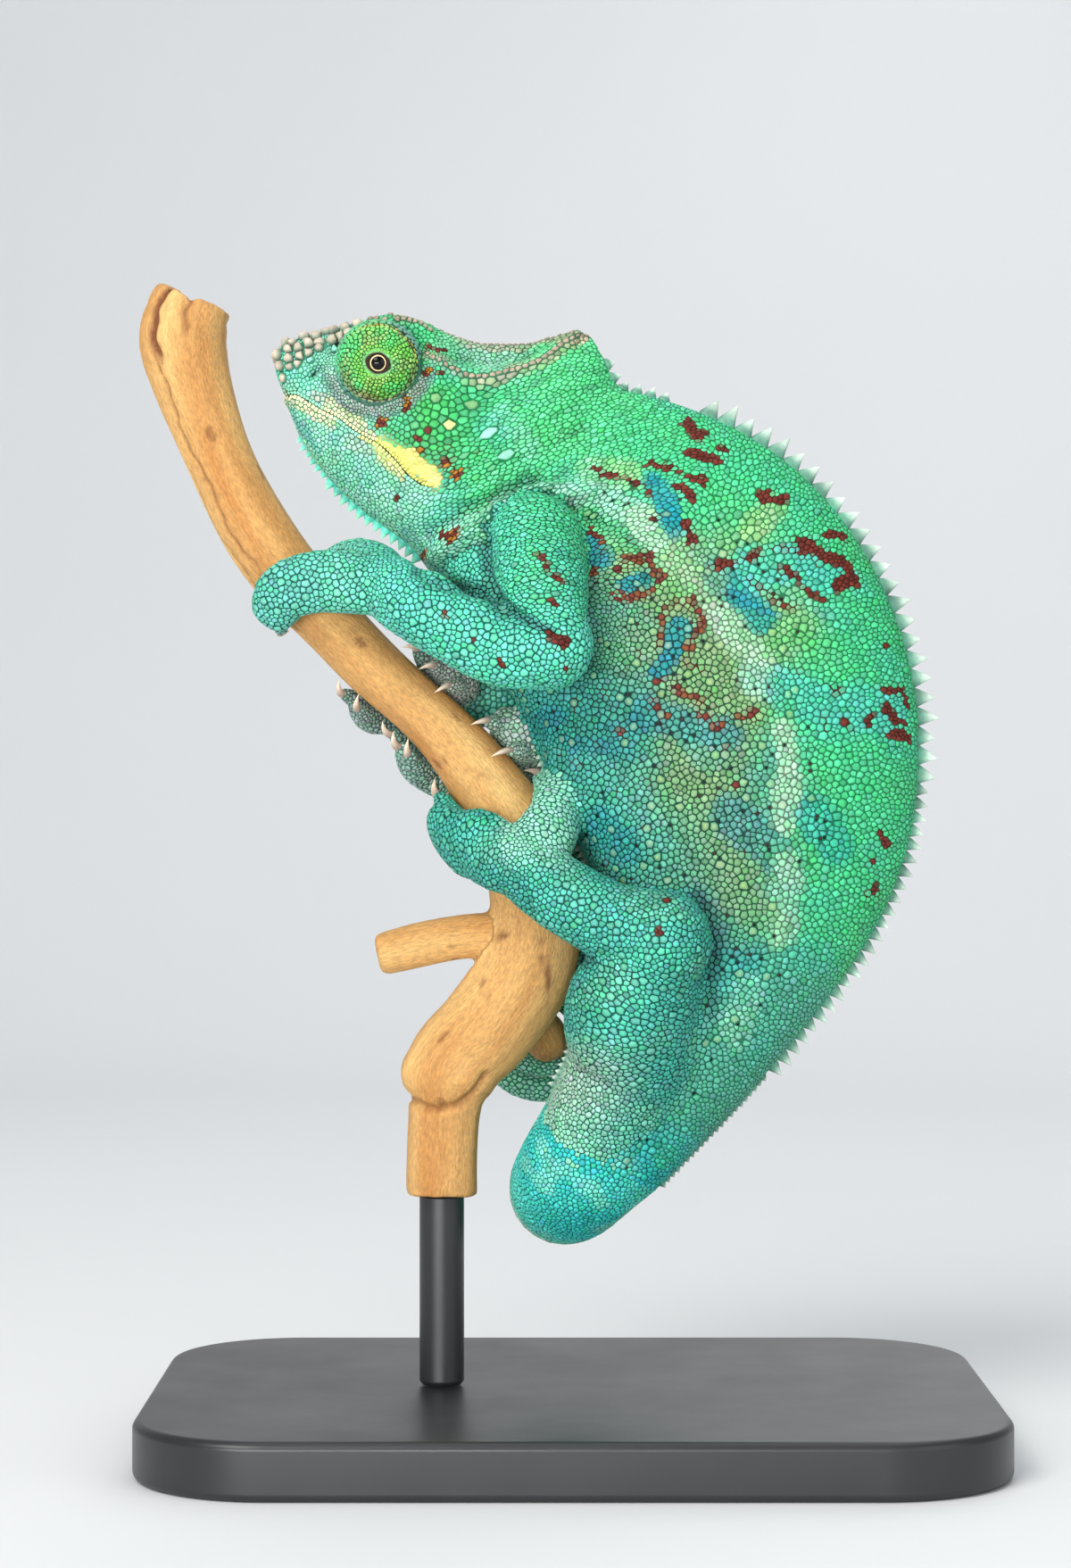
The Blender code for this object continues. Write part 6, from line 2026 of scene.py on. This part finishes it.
def wood_grain(points, edges, tubes):
    """Each point's coordinates along the wood, those of the nearest place on stem, stub or twig, smoothed
    apart from where they jump, and how near such a jump is."""
    tree = tree_of(np.concatenate([rings.reshape(-1, 3) for rings in tubes]))
    grain = np.concatenate([straightened(rings, index) for index, rings in enumerate(tubes)])
    grain = grain[[tree.find(p)[1] for p in points.tolist()]]
    jump = np.abs(grain[edges[:, 0]] - grain[edges[:, 1]]).max(1) > 3.0
    calm = np.zeros(len(points))
    calm[edges[jump].ravel()] = 1
    for _ in range(5):
        calm = np.maximum(calm, neighbour_mean(calm, edges)[:, 0])
    for _ in range(6):
        grain = 0.4 * grain + 0.6 * neighbour_mean(grain, edges[~jump])
    return grain, calm


def wood_cracks(around, down):
    """How deep the cracks are: deep exp(-(distance from a wandering line / width)^2), fading at both ends."""
    crack = np.zeros(len(down))
    for s0, s1, a0, a1, deep, wide in WOOD_CRACKS:
        t = np.clip((down - s0) / (s1 - s0), 0, 1)
        bend = a0 + (a1 - a0) * t + 0.10 * np.sin(down * 0.35 + a0 * 9) + 0.04 * np.sin(down * 1.3)
        off = np.abs((around - bend + np.pi) % TURN - np.pi) * 6.5
        fade = ramp(down, s0 - 2, s0 + 2) * (1 - ramp(down, s1 - 0.3 * (s1 - s0), s1))
        crack = np.maximum(crack, deep * bell(off, wide) * fade * (down < GRAIN_STEP - 50))
    return crack


class CHAMELEON_OT_perch(bpy.types.Operator):
    """Builds the cut length of bare branch, its stub, knob and twig"""

    bl_idname = "chameleon.perch"
    bl_label = "Perch"

    def execute(self, context):
        """Tubes melted into one and carved along the normals: fibres, waves, cracks, folds and broken top."""
        settings = context.scene.chameleon_perch
        inset = 0.4
        rows = smooth_rows(PERCH, 10)
        stem = np.column_stack([upright(rows[:, 0], rows[:, 1]), rows[:, 2]])
        parts = [round_tube(stem, inset, (0, 1, 0), 56, False, False)]
        for table in (PERCH_STUB, PERCH_TWIG, PERCH_KNOB):
            ends = [table is PERCH_KNOB] * 2
            parts.append(round_tube(smooth_rows(table, 10), inset, (0, 1, 0.01), 40, *ends))
        shapes = [closed_shell(rings) for rings in parts]
        points, quads = melted("perch_melt", shapes, settings.grain_size / MM)
        edges = edges_of(quads)
        for _ in range(6):
            points = 0.5 * points + 0.5 * neighbour_mean(points, edges)
        grain, calm = wood_grain(points, edges, parts[:3])
        normals = normals_of(points, quads)
        fibre = 0.10 * waves(grain * (1, 1, 0.2), 3.0, 41) + 0.05 * waves(grain * (1, 1, 0.07), 0.9, 42, 30)
        lift = fibre * (1 - ramp(calm, 0, 0.3)) + 0.16 * waves(points, 7.0, 43)
        crack = wood_cracks(np.arctan2(grain[:, 1], grain[:, 0]), grain[:, 2])
        for height, width, line in WOOD_FOLDS:
            fold = height * bell(distance_to(points[:, [0, 2]], line), width) * (normals[:, 1] < 0.3)
            lift += fold
            crack = np.maximum(crack, -0.35 * fold * (width < 1))
        top = ramp(-grain[:, 2], -5.0, 0.0)
        lift = np.minimum(lift - crack, inset) - 0.9 * top * ramp(waves(points, 2.2, 47), -0.2, 1.2)
        points = points + normals * lift[:, None]
        points[:, 0] = np.maximum(points[:, 0], CAD_BOX[0][0] / MM + 0.05)
        pores = ramp(waves(grain * (1, 1, 0.4), 0.8, 44, 30), 2.1, 2.6) * 0.55
        cloud = ramp(waves(points, 1.1, 45), -0.9, 0.4)
        blots = [np.exp(-(((points - place) / size) ** 2).sum(1)) * cloud for place, size in WOOD_STAINS]
        # the dark colour: full in the cracks and the narrow groove, in pores, and in the blots
        stain = np.clip(np.maximum.reduce([np.clip(crack * 1.3, 0, 0.9), pores, *blots]), 0, 1)
        mesh = mesh_from("perch_branch", points, quads)
        set_values(mesh, "grain", grain, "FLOAT_VECTOR", "vector")
        set_tint(mesh, "stain", np.repeat(stain[:, None], 3, 1))
        add_piece(mesh, wood_material(settings), ["perch"])
        return {"FINISHED"}


class CHAMELEON_OT_stand(bpy.types.Operator):
    """Builds the plain black base and rod"""

    bl_idname = "chameleon.stand"
    bl_label = "Stand"

    def execute(self, context):
        """The base is a round-cornered outline carried down the profile of its edge: at inset i and height z
        the outline's corner radius is the corner's less i. The rod is a turned profile."""
        settings = context.scene.chameleon_stand
        edge, middle = settings.edge / MM, BASE_CORNER * 0.5
        turn = np.linspace(0, np.pi / 2, 17)
        rise, fall = edge * (1 - np.cos(turn)), edge * (1 - np.sin(turn))
        inset = np.concatenate([[middle, edge], fall[1:], [0], edge * (1 - np.cos(turn * 0.999)), [middle]])
        height = [[0, 0], rise[1:], [BASE_THICKNESS - edge], BASE_THICKNESS - fall, [BASE_THICKNESS]]
        height = np.concatenate(height)
        a = np.concatenate([np.linspace(q, q + np.pi / 2, 25) for q in np.arange(4) * np.pi / 2])
        sx, sy = np.repeat([1, -1, -1, 1], 25), np.repeat([1, 1, -1, -1], 25)
        corner = np.maximum(BASE_CORNER - inset, 0.5)[:, None]
        x = sx * (BASE_LENGTH / 2 - BASE_CORNER) + corner * np.cos(a)
        y = sy * (BASE_WIDTH / 2 - BASE_CORNER) + corner * np.sin(a)
        base = np.stack([x, y, np.repeat(height[:, None], len(a), 1)], -1)

        foot, top, waist = BASE_THICKNESS + 0.3, PERCH[-1, 1] - 0.2, ROD_RADIUS - 0.5
        z = np.concatenate([[foot], foot + 0.6 * np.sin(turn), np.linspace(foot + 0.9, top, 12)])[:, None]
        r = np.concatenate([[waist], waist + 0.5 * np.sin(turn), np.full(12, ROD_RADIUS)])[:, None]
        a = round_turn(64)
        rod = np.stack([PERCH[-1, 0] + r * np.cos(a), r * np.sin(a), z + 0 * a], -1)
        material = lacquer_material(settings)
        for name, rings in (("base", base), ("rod", rod)):
            mesh = mesh_from(f"stand_{name}_black", *closed_shell(rings))
            mesh.set_sharp_from_angle(angle=np.radians(40))
            add_piece(mesh, material, [f"stand_{name}"])
        return {"FINISHED"}


class CHAMELEON_OT_stage(bpy.types.Operator):
    """Sets out the pale floor, the soft studio lights and the camera"""

    bl_idname = "chameleon.stage"
    bl_label = "Stage"

    def execute(self, context):
        settings, scene = context.scene.chameleon_stage, context.scene
        # a floor that sweeps up into a backdrop: straight, a quarter circle of radius 600, straight up
        turn = np.linspace(0, np.pi / 2, 24)
        y = np.concatenate([[-2500, 700], 700 + 600 * np.sin(turn)[1:], [1300]])
        z = np.concatenate([[0, 0], 600 * (1 - np.cos(turn))[1:], [2600]])
        points = np.stack([np.tile([-2600, 2600], len(y)), np.repeat(y, 2), np.repeat(z, 2)], -1)
        i = np.arange(len(y) - 1)[:, None] * 2
        mesh = mesh_from("floor", points, i + (0, 1, 3, 2))
        mesh.materials.append(floor_material(settings))
        floor = bpy.data.objects.new("floor", mesh)
        scene.collection.objects.link(floor)

        key, front, fill = settings.key, settings.front, settings.fill
        for name, place, aim, width, depth, power, colour in (
            ("key", (-0.5, -0.8, 0.9), 0.13, 0.6, 0.6, key, (1, 0.985, 0.96)),
            ("fill", (0.9, -0.8, 0.35), 0.12, 0.9, 0.9, fill, (0.95, 0.98, 1)),
            ("front", (-0.3, -1.05, 0.06), 0.09, 0.8, 0.3, front, (1, 1, 1)),
            ("top", (0.1, 0.1, 1.2), 0.1, 0.9, 0.9, fill * 1.1, (1, 1, 1)),
            ("back", (0.4, 1, 0.9), 0.12, 0.8, 0.8, fill * 0.9, (0.97, 0.99, 1)),
        ):
            lamp = bpy.data.lights.new(name, "AREA")
            lamp.shape = "RECTANGLE"
            lamp.size, lamp.size_y, lamp.energy, lamp.color = width, depth, power, colour
            light = bpy.data.objects.new(name, lamp)
            light.location = place
            light.rotation_euler = (Vector((0, 0, aim)) - Vector(place)).to_track_quat("-Z", "Y").to_euler()
            scene.collection.objects.link(light)

        world = bpy.data.worlds.new("room")
        world.use_nodes = True
        air = world.node_tree.nodes["Background"].inputs
        air["Color"].default_value = (0.9, 0.95, 1, 1)
        air["Strength"].default_value = 0.32
        scene.world = world
        scene.view_settings.view_transform = "Standard"

        camera = bpy.data.objects.new("camera", bpy.data.cameras.new("camera"))
        camera.location = (-0.0064, -0.625, 0.1178)
        camera.rotation_euler = (np.pi / 2, 0, 0)
        camera.data.lens, camera.data.sensor_width, camera.data.clip_start = 80, 36, 0.01
        scene.collection.objects.link(camera)
        scene.camera = camera
        return {"FINISHED"}


class CHAMELEON_PT_panel(bpy.types.Panel):
    """Lists what can be built"""

    bl_idname = "CHAMELEON_PT_panel"
    bl_label = "Chameleon"
    bl_space_type = "VIEW_3D"
    bl_region_type = "UI"
    bl_category = "Chameleon"

    def draw(self, context):
        for operator, group in BUILDERS:
            box = self.layout.box()
            if group:
                settings = getattr(context.scene, group)
                for name in settings.__annotations__:
                    box.prop(settings, name)
            box.operator(operator.bl_idname)


BUILDERS = [
    (CHAMELEON_OT_skin, None),
    (CHAMELEON_OT_scales, "chameleon_coat"),
    (CHAMELEON_OT_spines, None),
    (CHAMELEON_OT_eyes, "chameleon_eye"),
    (CHAMELEON_OT_claws, None),
    (CHAMELEON_OT_perch, "chameleon_perch"),
    (CHAMELEON_OT_stand, "chameleon_stand"),
    (CHAMELEON_OT_stage, "chameleon_stage"),
]
GROUPS = {
    "chameleon_coat": ChameleonCoat,
    "chameleon_eye": ChameleonEye,
    "chameleon_perch": ChameleonPerch,
    "chameleon_stand": ChameleonStand,
    "chameleon_stage": ChameleonStage,
}


def register():
    for group in GROUPS.values():
        bpy.utils.register_class(group)
    for name, group in GROUPS.items():
        setattr(bpy.types.Scene, name, PointerProperty(type=group))
    for operator, _ in BUILDERS:
        bpy.utils.register_class(operator)
    bpy.utils.register_class(CHAMELEON_PT_panel)


def unregister():
    bpy.utils.unregister_class(CHAMELEON_PT_panel)
    for operator, _ in reversed(BUILDERS):
        bpy.utils.unregister_class(operator)
    for name, group in GROUPS.items():
        delattr(bpy.types.Scene, name)
        bpy.utils.unregister_class(group)


def main():
    register()
    for operator, _ in BUILDERS:
        group, name = operator.bl_idname.split(".")
        getattr(getattr(bpy.ops, group), name)()


if __name__ == "__main__":
    main()
